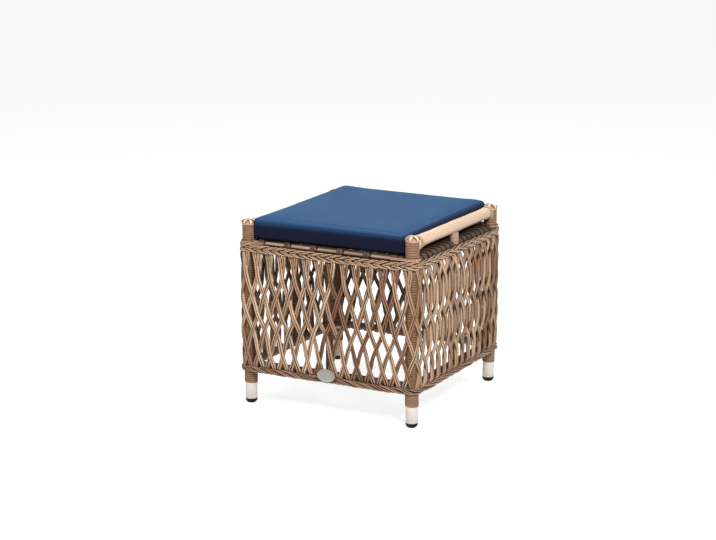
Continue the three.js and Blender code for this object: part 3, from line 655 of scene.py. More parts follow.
def outwardAt(place):
    out = around(place, 0.03, 0.0) - around(place, 0.0, 0.0)
    return out / np.linalg.norm(out, axis=-1, keepdims=True)


cornerFrom, cornerBlend = 0.170, 0.025  # how far from a side's middle the weave starts to round its corner


def cornerNearness(place):
    along = np.mod(place, 2 * sideHalf) - sideHalf
    return smooth((np.abs(along) - cornerFrom) / cornerBlend)


# woven sides

weave = {
    "columns": 14, "rows": 6, "tuck": 0.018,  # tuck: strand ends behind the borders
    "caneRadius": 0.0028, "pairHalf": 0.0025,
    "middle": 0.0187, "swing": 0.0026,  # over and under
    "cornerPull": 0.0010,
    "tuckDepth": 0.0135, "cornerTuckDepth": 0.0148,
    "foot": (0.0050, 0.0082),  # strands part at the borders, over this many rows
    "footRows": 1.6,
    "hook": 0.009,  # tops of the rising strands turn back into the braid
    "unevenness": 0.0011,
    "stations": 56,
    # how far crossings sit below their true rows, in millimetres, at places round the weave
    "sagPlaces": [25, 95, 160, 226, 293, 357, 426, 480, 560, 640, 720, 800, 870, 950, 1040, 1130, 1220, 1300,
                  1390, 1480, 1570, 1660, 1750],
    "sagLow": [-3, -5, -5, 5, -9, -14, -24, -10, 3, -6, 4, -7, 2, -5, 6, -8, 3, -4, 5, -6, 2, -5, 3],
    "sagHigh": [-9, -13, -9, -3, -3, -15, -20, -8, -4, 5, -7, 4, -6, 3, -8, 4, -6, 5, -3, -8, 4, -5, -6],
}


def sag(place, row):
    low = np.interp(place * 1000, weave["sagPlaces"], weave["sagLow"], period=lap * 1000)
    high = np.interp(place * 1000, weave["sagPlaces"], weave["sagHigh"], period=lap * 1000)
    return (low * np.interp(row, [0, 2, 4], [0, 1, 0]) + high * np.interp(row, [2, 4, 6], [0, 1, 0])) / 1000


def strandPair(column, lean, dice):
    rows, tuck, uneven = weave["rows"], weave["tuck"], weave["unevenness"]
    columnPitch = 2 * sideHalf / weave["columns"]
    rowPitch = (stool["weaveTop"] - stool["weaveBase"]) / rows
    row = np.linspace(-tuck / rowPitch, rows + tuck / rowPitch, weave["stations"])
    place = (column + lean * np.clip(row, 0, rows) / 2) * columnPitch
    foot = dice.uniform(*weave["foot"])
    place = place + lean * foot * smooth(1 - row / weave["footRows"])
    place = place - lean * foot * smooth(1 - (rows - row) / weave["footRows"])
    if lean > 0:
        place = place - weave["hook"] * smooth((row - rows + 0.25) / 0.6)
    place = place + uneven * dice.uniform(-1, 1) * np.sin(row * 0.9 + anyPhase(dice))
    place = place + uneven * 0.5 * dice.uniform(-1, 1) * np.sin(row * 2.3 + anyPhase(dice))
    height = stool["weaveBase"] + row * rowPitch + sag(place, row)
    near = cornerNearness(place)
    over = lean * np.cos(np.pi * row) * (1 - 0.5 * near)
    tucked = smooth((0.12 - row) / 0.4) + smooth((row - rows + 0.12) / 0.4)
    behind = weave["tuckDepth"] * (1 - near) + weave["cornerTuckDepth"] * near
    depth = weave["middle"] + weave["swing"] * over - weave["cornerPull"] * near
    depth = depth * (1 - tucked) + behind * tucked
    slopePlace, slopeHeight = np.gradient(place), np.gradient(height)
    length = np.hypot(slopePlace, slopeHeight)
    tone = dice.random()
    lines = []
    for side in (-1, 1):
        apart = weave["pairHalf"] * (1 + 0.12 * np.sin(row * 1.7 + anyPhase(dice)))
        apart = side * apart * (1 + 0.1 * smooth(1 - row / 0.7))
        points = around(place - apart * slopeHeight / length,
                        depth + 0.0002 * np.sin(row * 2.1 + anyPhase(dice)),
                        height + apart * slopePlace / length)
        lines.append({"points": points, "outward": outwardAt(place), "seam": side,
                      "radius": weave["caneRadius"] * dice.uniform(0.94, 1.04),
                      "tone": spreadTone(tone, dice, 0.16)})
    return lines


def makeWovenSides():
    for number, side in enumerate(sides):
        dice = random.Random(40 + number)
        lines = []
        for column in range(number * weave["columns"], (number + 1) * weave["columns"]):
            lines += strandPair(column, 1, dice)
            lines += strandPair(column + 1, -1, dice)
        finishPiece(sweepLines(f"woven_side_{side}", lines, cane), "lattice_cane", f"lattice_{side}")


# borders: turned is the share of all turns made at each corner, counted round the weave
lowerBorder = {"rows": [(0.088, -1)], "groups": 3, "lays": 16, "rise": 0.0058, "depth": 0.0205, "swell": 0.0022,
               "caneRadius": 0.0021, "pairShare": 0.066, "stations": 20, "turned": (0, 0.3, 0.44, 0.74, 1),
               "tones": (0.3, 0.7), "badgeHalf": 0.036, "badgePress": 0.0012, "frontSag": 0.0}
upperBorder = {"rows": [(0.3804, 1), (0.3708, -1)], "groups": 2, "lays": 34, "rise": 0.0033, "depth": 0.0207,
               "swell": 0.0021, "caneRadius": 0.0020, "pairShare": 0.080, "stations": 18,
               "turned": (0, 0.28, 0.46, 0.74, 1), "tones": (0.62, 1.0), "badgeHalf": 0.0, "badgePress": 0.0,
               "frontSag": 0.0028}
borderCore = {"steps": 160, "depth": 0.0193, "cornerPull": 0.0045,  # cores: height and radius
              "cores": [(0.0880, 0.0046), (0.3690, 0.0030), (0.3745, 0.0030), (0.3795, 0.0030)]}
borderPull, strandWander = 0.0022, 0.0005


# two-cane groups twisted into a rope round the whole weave; hand 1 climbs to the right outside
def ropeLines(look, middle, hand, dice):
    lines = []
    steps = look["lays"] * look["stations"]
    place = np.arange(steps) * lap / steps
    turned = np.interp(place / lap, (0, 0.25, 0.5, 0.75, 1), look["turned"]) * look["lays"]
    # the lower rope is pressed flat behind the badge, the upper braid hangs a little at the right of the front
    pressed = smooth((look["badgeHalf"] - np.abs(place - sideHalf)) / 0.012) * (look["badgeHalf"] > 0)
    hang = look["frontSag"] * (smooth((place - 0.10) / 0.2) - smooth((place - 0.39) / 0.06))
    for group in range(look["groups"]):
        tone = dice.uniform(*look["tones"])
        for side in (-1, 1):
            share = group / look["groups"] + side * look["pairShare"]
            angle = fullTurn * (turned + share)
            wander = strandWander * np.sin(fullTurn * place * dice.randint(5, 11) / lap + anyPhase(dice))
            height = middle - hand * look["rise"] * np.cos(angle) + wander - hang
            depth = look["depth"] + look["swell"] * np.sin(angle) * (1 - 0.6 * pressed)
            depth = depth - look["badgePress"] * 0.6 * pressed - borderPull * cornerNearness(place)
            lines.append({"points": around(place, depth, height), "outward": outwardAt(place), "seam": 2,
                          "radius": look["caneRadius"], "closed": True, "tone": spreadTone(tone, dice, 0.15)})
    return lines


def makeBorders():
    dice = random.Random(7)
    for name, look in (("bottom_border", lowerBorder), ("top_border", upperBorder)):
        lines = [line for middle, hand in look["rows"] for line in ropeLines(look, middle, hand, dice)]
        finishPiece(sweepLines(name, lines, borderCane), "border_cane", *[f"{name}_{side}" for side in sides])
    # inner strands that the braids are worked round, in the dark cane as painted shade between the braid's
    # canes
    place = np.arange(borderCore["steps"]) * lap / borderCore["steps"]
    depth = borderCore["depth"] - borderCore["cornerPull"] * cornerNearness(place)
    lines = [{"points": around(place, depth, level), "outward": outwardAt(place), "radius": radius, "tone": 0,
              "closed": True} for level, radius in borderCore["cores"]]
    finishPiece(sweepLines("border_cores", lines, darkCane), "border_cane")


makeWovenSides()
makeBorders()
print("weave and borders made")


# posts, glides and windings

post = {"bore": 0.0127, "foot": 0.0113, "top": 0.430, "lip": 0.0006, "steps": 48}
glide = {"height": 0.011, "flat": 0.005, "radius": 0.0143, "stem": 0.018, "steps": 40}
strip = {"Strip Width": 0.0055, "Strip Thickness": 0.0014, "Unevenness": 0.0009}
winding = {"innerRadius": 0.0142, "pitch": 0.00575, "base": 0.0485, "lowerRail": 0.0860, "upperRail": 0.3740}
# the middle stretch, behind the woven sides, is in the shaded cane as painted shade
windings = {"lower": (winding["base"], winding["lowerRail"], windingCane),
            "middle": (winding["lowerRail"], winding["upperRail"], shadedCane),
            "upper": (winding["upperRail"], post["top"], windingCane)}


def windRound(name, foot, material, values):
    stand = bpy.data.meshes.new("stand")
    stand.from_pydata([foot], [], [])
    return runTree(name, stand, windingTree, {**strip, **values, "Material": material})


def makePosts():
    outer, lip, bore, foot, top = stool["postRadius"], post["lip"], post["bore"], post["foot"], post["top"]
    tube = [(outer - lip, foot), (outer, foot + lip), (outer, winding["base"]), (outer, 0.2),
            (outer, top - lip), (outer - lip, top), (bore, top), (bore, foot)]
    flat, height = glide["flat"], glide["height"]
    dome = [(0, 0), (flat, 0)]
    for step in range(1, 9):
        angle = step / 8 * math.pi / 2
        dome.append((flat + (glide["radius"] - flat) * math.sin(angle), height * 0.93 * (1 - math.cos(angle))))
    stem = height + glide["stem"]
    dome += [(glide["radius"], height), (bore - 0.0003, height + 0.0002), (bore - 0.0004, stem), (0, stem)]
    for number, (corner, (signX, signY)) in enumerate(corners.items()):
        x, y = signX * spread, signY * spread
        piece = newPiece(f"post_{corner}", turnedMesh(tube, x, y, post["steps"], True), legMetal)
        finishPiece(piece, "leg_tube", f"leg_{corner}")
        piece = newPiece(f"foot_glide_{corner}", turnedMesh(dome, x, y, glide["steps"]), glidePlastic)
        finishPiece(piece, "glide", f"glide_{corner}")
        for part, (low, high, wound) in windings.items():
            piece = windRound(f"{part}_winding_{corner}", (x, y, low + 0.003), wound, {
                "Inner Radius": winding["innerRadius"], "Length": high - low - 0.004,
                "Turns": (high - low) / winding["pitch"], "Seed": number + 3, "Tone": 0.35 + 0.15 * number})
            finishPiece(piece, "post_winding", f"wrap_{part}_{corner}")


# post caps: flat canes crossed over a dome, with two turns round its foot
cap = {"radius": 0.0156, "rise": 0.0096, "straight": 0.0030, "strips": 3, "stripHalf": 0.0043,
       "stripLift": 0.0007, "firstAngle": 40, "angleStep": 60, "stations": 25, "turns": 2, "turnHalf": 0.0016,
       "turnPitch": 0.0026, "steps": 40}


def capDome(distance, lift):
    share = min(abs(distance) / (cap["radius"] + lift), 1)
    rise = cap["rise"] - cap["straight"] + lift
    return stool["capBase"] + cap["straight"] + rise * math.sqrt(1 - share ** 2.2)


def capStrip(x, y, angle, lift):
    points, outs = [], []
    for station in np.linspace(-1, 1, cap["stations"]):
        bend = station * math.pi / 2
        distance = (cap["radius"] + lift * 0.4) * math.sin(bend)
        height = capDome(distance, lift) - (0.002 if abs(station) == 1 else 0)
        points.append((x + distance * math.cos(angle), y + distance * math.sin(angle), height))
        outs.append((math.cos(angle) * math.sin(bend), math.sin(angle) * math.sin(bend), math.cos(bend)))
    return {"points": points, "outward": np.array(outs), "radius": cap["stripHalf"], "seam": 2}


def makeCaps():
    base, inner = stool["capBase"], cap["radius"] - 0.0004
    dome = [(0, base + 0.002), (inner - 0.0002, base + 0.002)]
    for step in range(9):
        distance = inner * math.cos(step / 8 * math.pi / 2) if step < 8 else 0
        dome.append((distance, capDome(distance, -0.0003)))
    for corner, (signX, signY) in corners.items():
        x, y = signX * spread, signY * spread
        lines = []
        for number in range(cap["strips"]):
            angle = math.radians(cap["firstAngle"] + cap["angleStep"] * number) * signX
            lift = 0.0003 + cap["stripLift"] * number
            lines.append({**capStrip(x, y, angle, lift), "tone": 0.6 + 0.2 * number})
        for number in range(cap["turns"]):
            turn = roundAxis(x, y, base + 0.0002 + cap["turnPitch"] * number, cap["radius"] + 0.0002,
                             evenAngles(cap["steps"]))
            lines.append({**turn, "radius": cap["turnHalf"], "tone": 0.5, "seam": 2, "closed": True})
        finishPiece(sweepLines(f"cap_strips_{corner}", lines, capCane, 12, 0.3), "handle_cane")
        piece = newPiece(f"post_cap_dome_{corner}", turnedMesh(dome, x, y, cap["steps"]), capCane)
        finishPiece(piece, "post_winding", f"post_cap_{corner}")


makePosts()
makeCaps()
print("posts made")


# rails of the frame and mid posts

rail = {"sides": 28, "midRadius": 0.0070, "midSides": 24, "midTurns": 46.0, "midGap": 0.003, "midLength": 0.27,
        "barRadius": 0.008}


def straightLine(start, end, radius, **rest):
    share = np.linspace(0, 1, 6)[:, None]
    points = np.array(start) * (1 - share) + np.array(end) * share
    return {"points": points, "radius": radius, "tone": 0.5, **rest}


def makeRails():
    radius, low, high = stool["railRadius"], stool["lowerRail"], stool["seatRail"]
    for number, side in enumerate(sides):
        turn = Matrix.Rotation(number * math.pi / 2, 3, "Z")
        for kind, level, paint in (("lower", low, framePaint), ("seat", high, railPaint)):
            ends = [turn @ Vector((sign * (spread - stool["endGap"]), -spread, level)) for sign in (-1, 1)]
            piece = sweepLines(f"{kind}_rail_tube_{side}", [straightLine(*ends, radius)], paint, rail["sides"])
            finishPiece(piece, "frame_paint", f"{kind}_rail_{side}")
        foot = turn @ Vector((0, -spread, low + radius + rail["midGap"]))
        piece = windRound(f"mid_post_winding_{side}", foot, shadedCane, {
            "Inner Radius": rail["midRadius"] + 0.0001, "Length": high - low - 2 * radius - 2 * rail["midGap"],
            "Turns": rail["midTurns"], "Seed": 20 + number, "Tone": 0.3})
        finishPiece(piece, "post_winding", f"mid_post_{side}")
        top = foot + Vector((0, 0, rail["midLength"]))
        core = straightLine(foot + Vector((0, 0, -0.004)), top, rail["midRadius"])
        finishPiece(sweepLines(f"mid_post_tube_{side}", [core], framePaint, rail["midSides"]), "frame_paint")
    bar = straightLine((0, -spread + radius, high), (0, spread - radius, high), rail["barRadius"])
    piece = sweepLines("cross_bar_tube", [bar], railPaint, rail["midSides"])
    finishPiece(piece, "frame_paint", "seat_cross_bar")


makeRails()
print("rails made")


# handles: their undersides drop towards the posts, from bend outwards

handle = {"flare": 0.024, "drop": 0.009, "sides": 44, "stations": 90, "unevenness": 0.00022, "skin": 0.0008}
lashing = {"turns": 3, "pitch": 0.0042, "half": 0.0021, "start": 0.0175, "lift": 0.0016, "steps": 28}
spacer = {"base": 0.3790, "waist": 0.396, "turns": 8, "steps": 30, "half": 0.0023, "reach": 0.0092,
          "swell": 0.0022, "outFrom": 0.0044, "leanIn": 0.0040, "core": (0.0060, 0.0066, 0.0090),
          "coreOut": 0.0028}


def handleDrop(y):
    bend = spread - stool["windRadius"] - handle["flare"]
    return handle["drop"] * np.clip((np.abs(y) - bend) / handle["flare"], 0, 1.1) ** 2


def makeHandles():
    radius, level, end = stool["handleRadius"] + handle["skin"], stool["handleHeight"], spread - stool["endGap"]
    for number, (side, signX) in enumerate(handleSides.items()):
        dice = random.Random(90 + number)
        phases = [anyPhase(dice) for _ in range(4)]
        rings = []
        for station in range(handle["stations"] + 1):
            y = -end + 2 * end * station / handle["stations"]
            drop = handleDrop(y)
            rings.append([])
            for step in range(handle["sides"]):
                angle = fullTurn * step / handle["sides"]
                swell = handle["unevenness"] * (math.sin(y * 31 + phases[0]) + math.sin(y * 74 + phases[1])
                                                + 0.6 * math.sin(3 * angle + y * 18 + phases[2]))
                lift = math.sin(angle)
                point = (signX * spread + (radius + swell) * math.cos(angle), y,
                         level + (radius + swell) * lift + min(lift, 0) * drop)
                rings[-1].append((point, (radius * math.cos(angle), radius * lift, y), (0, 0, 0)))
        piece = newPiece(f"handle_pole_{side}", solidCane(rings, 0.35 + 0.3 * number, 0), handleCane)
        finishPiece(piece, "handle_cane", f"handle_rail_{side}")


# turns of narrow cane that lash each end of a handle to its post
def makeLashings():
    ring = stool["handleRadius"] + lashing["lift"]
    angle = np.linspace(0, fullTurn * lashing["turns"], lashing["steps"] * lashing["turns"])
    lift = np.sin(angle)
    for corner, (signX, signY) in corners.items():
        y = signY * (spread - lashing["start"] - lashing["pitch"] * angle / fullTurn)
        height = stool["handleHeight"] + ring * lift + np.minimum(lift, 0) * handleDrop(y)
        line = {"points": np.stack([signX * spread + ring * np.cos(angle), y, height], axis=-1),
                "outward": np.stack([np.cos(angle), np.zeros_like(angle), lift], axis=-1),
                "radius": lashing["half"], "tone": 0.3, "seam": 2}
        finishPiece(sweepLines(f"handle_lashing_{corner}", [line], capCane, 10, 0.42), "handle_cane")


def makeSpacers():
    base, top = spacer["base"], stool["handleHeight"] - stool["handleRadius"] + 0.002
    angle = np.linspace(0, fullTurn * spacer["turns"], spacer["steps"] * spacer["turns"])
    share = angle / angle[-1]
    reach = spacer["reach"] + spacer["swell"] * smooth((share - 0.3) / 0.7)
    height = base + 0.002 + (top - base - 0.004) * share
    low, waist, high = spacer["core"]
    profile = [(0, base), (low, base), (waist, spacer["waist"]), (high, top), (0, top)]
    for side, signX in handleSides.items():
        x = signX * (spread + spacer["outFrom"] - spacer["leanIn"] * share)
        line = {**roundAxis(x, 0, height, reach, angle), "radius": spacer["half"], "tone": 0.9, "seam": 2}
        finishPiece(sweepLines(f"spacer_winding_{side}", [line], windingCane, 10, 0.5), "post_winding")
        core = turnedMesh(profile, signX * (spread + spacer["coreOut"]), 0, 32)
        piece = newPiece(f"spacer_core_{side}", core, windingCane)
        finishPiece(piece, "post_winding", f"handle_spacer_{side}")


makeHandles()
makeLashings()
makeSpacers()
print("handles made")


# seat

seat = {"bands": 19, "slot": 0.0062, "canes": 3, "thickness": 0.0024, "dropTo": 0.3700, "railReach": 0.0106,
        "wobble": 0.0012, "shortHalf": 0.190, "shortWidth": 0.0160, "shortDrop": 0.0004, "shortInset": 0.0025}
# over: how the strands run over the edge blocks, as distances past the leg centres and heights
binder = {"count": 6, "pitch": 0.068, "width": 0.014, "ribs": 3, "thickness": 0.0013, "lift": 0.0010,
          "wobble": 0.002, "over": [(0.0070, 0.3940), (0.0104, 0.3944), (0.0134, 0.3934), (0.0152, 0.3912),
                                    (0.0158, 0.3884), (0.0156, 0.3852), (0.0150, 0.3790)]}
edge = {"half": 0.1935, "gap": 0.002, "startGap": 0.0032, "endGap": 0.0014, "lean": 24, "reach": 0.0126,
        "level": 0.3884, "slope": 0.006, "bow": 0.0004, "radius": 0.0043, "stations": 14}
edgeCore = {"half": 0.19, "reach": 0.0108, "level": 0.3858, "radius": 0.0034}
sideCore = {"half": 0.2, "from": 0.152, "to": 0.203, "pitch": 0.0046, "level": 0.3869, "radius": 0.0024}


# closed strip with a rounded top of several canes side by side; across is the fixed side direction
def ribbonMesh(name, path, across, width, thickness, canes, tone):
    path = np.asarray(path, float)
    across = np.array(across, float)
    normal = np.cross(np.gradient(path, axis=0), across)
    normal /= np.linalg.norm(normal, axis=1, keepdims=True)
    steps = canes * 5
    outline = []  # across, up, and how near the edge of its cane
    for step in range(steps + 1):
        share = step / steps
        bulge = abs(math.sin(math.pi * share * canes)) ** 0.6
        near = abs(2 * (share * canes % 1) - 1) if 0 < step < steps else 1
        outline.append(((share - 0.5) * width, thickness * (0.05 + 0.45 * bulge), near))
    outline += [(side, -up, near) for side, up, near in reversed(outline)]
    run = [0, *np.cumsum(np.linalg.norm(np.diff(path, axis=0), axis=1))]
    rings = [[(point + across * side + out * up, (side, up, far), (2 * up / thickness, near, 0))
              for side, up, near in outline] for point, out, far in zip(path, normal, run)]
    return toMesh(name, solidCane(rings, tone, 2))


# half of a band's path from the middle of the seat out over a rail and down, in (across, height)
def overRail(level):
    rest, reach = stool["seatRail"], seat["railReach"]
    points = [(0.0, level), (0.1, level), (spread - 0.012, level)]
    for step in range(1, 8):
        angle = math.radians(90 - 90 * step / 8)
        points.append((spread + reach * math.cos(angle), rest + (level - rest) * math.sin(angle)))
    return points + [(spread + reach, rest - 0.002), (spread + reach, seat["dropTo"])]


def bothWays(half):
    return np.array([(-far, z) for far, z in reversed(half[1:])] + half)


def makeBands():
    pitch = (2 * (spread + stool["railRadius"]) + seat["slot"]) / seat["bands"]
    level = (stool["seatBase"] + stool["seatTop"]) / 2
    path = bothWays(overRail(level))
    first = np.full(len(path), -pitch * (seat["bands"] - 3) / 2)
    path = np.stack([path[:, 0], first, path[:, 1]], axis=-1)
    mesh = ribbonMesh("band", path, (0, 1, 0), pitch - seat["slot"], seat["thickness"], seat["canes"], 0.4)
    piece = runTree("seat_bands_woven", mesh, rowTree, {
        "Count": seat["bands"] - 2, "Step": (0, pitch, 0), "Wobble": seat["wobble"], "Seed": 5,
        "Material": seatCane})
    finishPiece(piece, "seat_cane", "seat_bands")

    row, half = spread - seat["shortInset"], seat["shortHalf"]
    short = [(x, -row, level - seat["shortDrop"]) for x in np.linspace(-half, half, 4)]
    mesh = ribbonMesh("shortBand", short, (0, 1, 0), seat["shortWidth"], seat["thickness"], seat["canes"], 0.3)
    piece = runTree("seat_bands_short", mesh, rowTree, {
        "Count": 2, "Step": (0, 2 * row, 0), "Wobble": 0.0, "Seed": 6, "Material": seatCane})
    finishPiece(piece, "seat_cane")


# flat canes over the front and back rails, in blocks between the lashings
def makeEdges():
    firstBinder = -(binder["count"] - 1) / 2 * binder["pitch"] + binder["width"] / 2 + edge["gap"]
    stops = [-edge["half"], *[firstBinder + k * binder["pitch"] for k in range(binder["count"])], edge["half"]]
    lean = math.radians(edge["lean"])
    dice = random.Random(12)
    lines = []
    for sign in (-1, 1):
        out = np.array((0, sign * math.cos(lean), math.sin(lean)))
        for start, end in zip(stops, stops[1:]):
            x = np.linspace(start + edge["startGap"], end - edge["endGap"], edge["stations"])
            bow = edge["bow"] * np.sin((x - start) / (end - start) * np.pi)
            points = np.stack([x, sign * (spread + edge["reach"]) + out[1] * bow,
                               edge["level"] - edge["slope"] * x + out[2] * bow], axis=-1)
            lines.append({"points": points, "outward": out, "radius": edge["radius"], "seam": 2,
                          "tone": dice.uniform(0.3, 0.9)})
    finishPiece(sweepLines("seat_edge_blocks", lines, edgeCane, 12, 0.36), "seat_cane")

    # painted shade: dark cores under the edge blocks, and dark strands under the bands near the left and right
    # rails so the slots between the bands show dark
    reach, half, level = spread + edgeCore["reach"], edgeCore["half"], edgeCore["level"]
    lines = [straightLine((-half, sign * reach, level), (half, sign * reach, level), edgeCore["radius"],
                          outward=(0, sign, 0), tone=0) for sign in (-1, 1)]
    half, level = sideCore["half"], sideCore["level"]
    for x in np.arange(sideCore["from"], sideCore["to"], sideCore["pitch"]):
        lines += [straightLine((sign * x, -half, level), (sign * x, half, level), sideCore["radius"],
                               outward=(0, 0, 1), tone=0) for sign in (-1, 1)]
    finishPiece(sweepLines("seat_edge_cores", lines, darkCane), "seat_cane")


# double strands from front to back, lashed down over the blocks
def makeBinders():
    top = stool["seatTop"] + binder["lift"]
    half = [(0.0, top), (0.1, top), (spread - 0.010, top + 0.0001), (spread + 0.002, top - 0.0002)]
    half += [(spread + far, z) for far, z in binder["over"]]
    path = bothWays(half)
    first = np.full(len(path), -(binder["count"] - 1) / 2 * binder["pitch"])
    path = np.stack([first, path[:, 0], path[:, 1]], axis=-1)
    mesh = ribbonMesh("binder", path, (1, 0, 0), binder["width"], binder["thickness"], binder["ribs"], 0.7)
    piece = runTree("seat_binder_strands", mesh, rowTree, {
        "Count": binder["count"], "Step": (binder["pitch"], 0, 0), "Wobble": binder["wobble"], "Seed": 9,
        "Material": seatCane})
    finishPiece(piece, "seat_cane", "seat_binders")


# twisted strands round the foot of each post, where it leaves the seat, and two bent round it from outside
collar = {"reach": 0.0168, "level": 0.3872, "twist": 0.0013, "caneRadius": 0.0018, "lays": 7, "steps": 90,
          "bent": [(0.3862, 0.0018), (0.3893, 0.0016)], "start": 0.0462, "stop": 0.002, "out": 0.0170,
          "bendReach": 0.0180, "bendTo": 200, "ease": 0.0022 * np.array([0, 0, 0, 0, 0, 0.3, 0.7, 1])}


def makeCollars():
    angle = evenAngles(collar["steps"])
    bend = np.radians(np.linspace(-90, -collar["bendTo"], 16))
    inward = np.linspace(collar["start"], collar["stop"], len(collar["ease"]))
    for number, (corner, (signX, signY)) in enumerate(corners.items()):
        x, y = signX * spread, signY * spread
        lines = []
        for strand in range(2):
            twist = angle * collar["lays"] + np.pi * strand + number
            ring = roundAxis(x, y, collar["level"] + collar["twist"] * np.sin(twist),
                             collar["reach"] + collar["twist"] * np.cos(twist), angle)
            lines.append({**ring, "radius": collar["caneRadius"], "tone": 0.3 + 0.4 * strand, "seam": 2,
                          "closed": True})
        for level, radius in collar["bent"]:
            straight = np.stack([x - signX * inward, y + signY * (collar["out"] + collar["ease"]),
                                 np.full(len(inward), level)], axis=-1)
            facing = np.stack([-signX * np.cos(bend), -signY * np.sin(bend), np.zeros(len(bend))], axis=-1)
            curved = (x, y, level) + collar["bendReach"] * facing
            outs = np.concatenate([np.tile((0, signY, 0), (len(inward), 1)), facing])
            lines.append({"points": np.concatenate([straight, curved]), "outward": outs, "radius": radius,
                          "tone": 0.5, "seam": 2})
        finishPiece(sweepLines(f"post_collar_{corner}", lines, collarCane), "seat_cane")


makeBands()
makeEdges()
makeBinders()
makeCollars()
print("seat made")


# badge plate, left bare

badge = {"middle": 0.004, "halfWidth": 0.023, "halfHeight": 0.0155, "height": 0.099, "back": 0.0236,
         "plate": 0.0014, "rim": 0.0022, "rimRise": 0.0006, "steps": 72,
         "tones": [(132, 130, 124), (184, 180, 172)]}


def badgeMaterial():
    material, tree, shader = newMaterial("brushedPlate", {"Metallic": 0.4})
    drawn = addNode(tree, "ShaderNodeMapping", {"Vector": objectPlace(tree), "Scale": (60, 1, 2600)})[0]
    brush = noise(tree, drawn, 1.0, 3.0)
    setInputs(tree, shader, {"Base Color": colourRamp(tree, brush, badge["tones"]),
                             "Roughness": remap(tree, brush, 0, 1, 0.28, 0.48)})
    addBump(tree, shader, brush, 0.2, 0.0002)
    return material


def makeBadge():
    rim, rise, plate = badge["rim"], badge["rimRise"], badge["plate"]
    # from the back over the rim to the middle: share of the size, how far inside it, how far out
    rings = [(1.0, 0, 0), (1.0, 0, plate + rise * 0.6), (1.0, -0.0004, plate + rise),
             (1.0, -rim * 0.7, plate + rise), (1.0, -rim, plate + rise * 0.7), (1.0, -rim - 0.0003, plate),
             (0.55, -rim, plate + 0.0003), (0.25, -rim, plate + 0.0004)]
    face = -spread - badge["back"]
    bm = bmesh.new()
    made = []
    for shrink, inset, out in rings:
        wide, tall = (badge["halfWidth"] + inset) * shrink, (badge["halfHeight"] + inset) * shrink
        made.append([bm.verts.new((badge["middle"] + wide * math.cos(angle), face - out,
                                   badge["height"] + tall * math.sin(angle)))
                     for angle in evenAngles(badge["steps"])])
    hub = bm.verts.new((badge["middle"], face - plate - 0.0004, badge["height"]))
    joinRings(bm, made + [[hub]])
    bm.faces.new(made[0])
    finishPiece(newPiece("badge_oval", bm, badgeMaterial()), "badge_plate", "badge_plate")


makeBadge()
print("badge made")


# cushion

cushion = {
    "width": 0.3925, "depth": 0.436, "centreX": -0.0010, "base": 0.3942, "height": 0.0502, "tilt": 0.0040,
    "lean": -0.0025, "crown": 0.0015, "corner": 0.007, "round": 0.0058, "drawIn": 0.0030, "startInset": 0.0010,
    "voxel": 0.0042, "pressure": 4.0, "frames": 20, "swell": 0.0040, "postGap": 0.0160, "fill": 0.85,
}
# painted light: the top's lighter navy and the sides' darker navy stand in for light falling from above
clothLook = {"tones": [(13, 18, 43), (40, 79, 120)], "threads": 900.0,  # tones: side and top
             "topFrom": 0.4235, "topTo": 0.4405, "rollFrom": 0.1790, "rollTo": 0.1960, "rollShade": 0.25,
             "footFrom": 0.3975, "footTo": 0.4020, "footShade": 0.35}


# rounded corners, and sides drawn in a little between them
def cushionOutline(inset, z):
    radius = max(cushion["corner"] - inset, 0.004)
    centreX, centreY = cushion["width"] / 2 - inset - radius, cushion["depth"] / 2 - inset - radius
    centres = [(centreX, centreY), (-centreX, centreY), (-centreX, -centreY), (centreX, -centreY)]
    straight = 10
    points = []
    for number, (x, y) in enumerate(centres):
        for step in range(7):
            angle = math.radians(90 * number + 90 * step / 6)
            points.append((x + radius * math.cos(angle), y + radius * math.sin(angle)))
        start = points[-1]
        nextX, nextY = centres[(number + 1) % 4]
        end = (nextX + radius * math.cos(angle), nextY + radius * math.sin(angle))
        for step in range(1, straight):
            share = step / straight
            pull = cushion["drawIn"] * math.sin(math.pi * share) ** 0.8
            points.append((start[0] + (end[0] - start[0]) * share - math.cos(angle) * pull,
                           start[1] + (end[1] - start[1]) * share - math.sin(angle) * pull))
    return [(x + cushion["centreX"], y, z) for x, y in points]


def cushionForm():
    inset, bend, base = cushion["startInset"], cushion["round"], cushion["base"]
    low, high = base + inset * 0.3, base + cushion["height"] - inset * 0.5
    levels = [(bend, low), (bend * 0.3, low + bend * 0.3), (0, low + bend), (0, (low + high) / 2),
              (0, high - bend), (bend * 0.3, high - bend * 0.3), (bend, high)]
    rings = [cushionOutline(inset + pull, z) for pull, z in levels]
    for shrink, share in ((0.85, 0.5), (0.62, 0.8), (0.35, 0.95)):
        rings.append([(x * shrink, y * shrink, high + share * cushion["crown"]) for x, y, z in rings[6]])
    bm = bmesh.new()
    made = []
    for ring in rings:
        made.append([])
        for x, y, z in ring:
            slant = cushion["tilt"] * 2 * y / cushion["depth"] + cushion["lean"] * 2 * x / cushion["width"]
            made[-1].append(bm.verts.new((x, y, z + slant * (z - low) / (high - low))))
    foot = bm.verts.new((0, 0, low))
    peak = bm.verts.new((0, 0, high + cushion["crown"]))
    joinRings(bm, [[foot], *made, [peak]])
    return bm


def applyModifiers(piece):
    mesh = finalMesh(piece)
    piece.modifiers.clear()
    piece.data = mesh


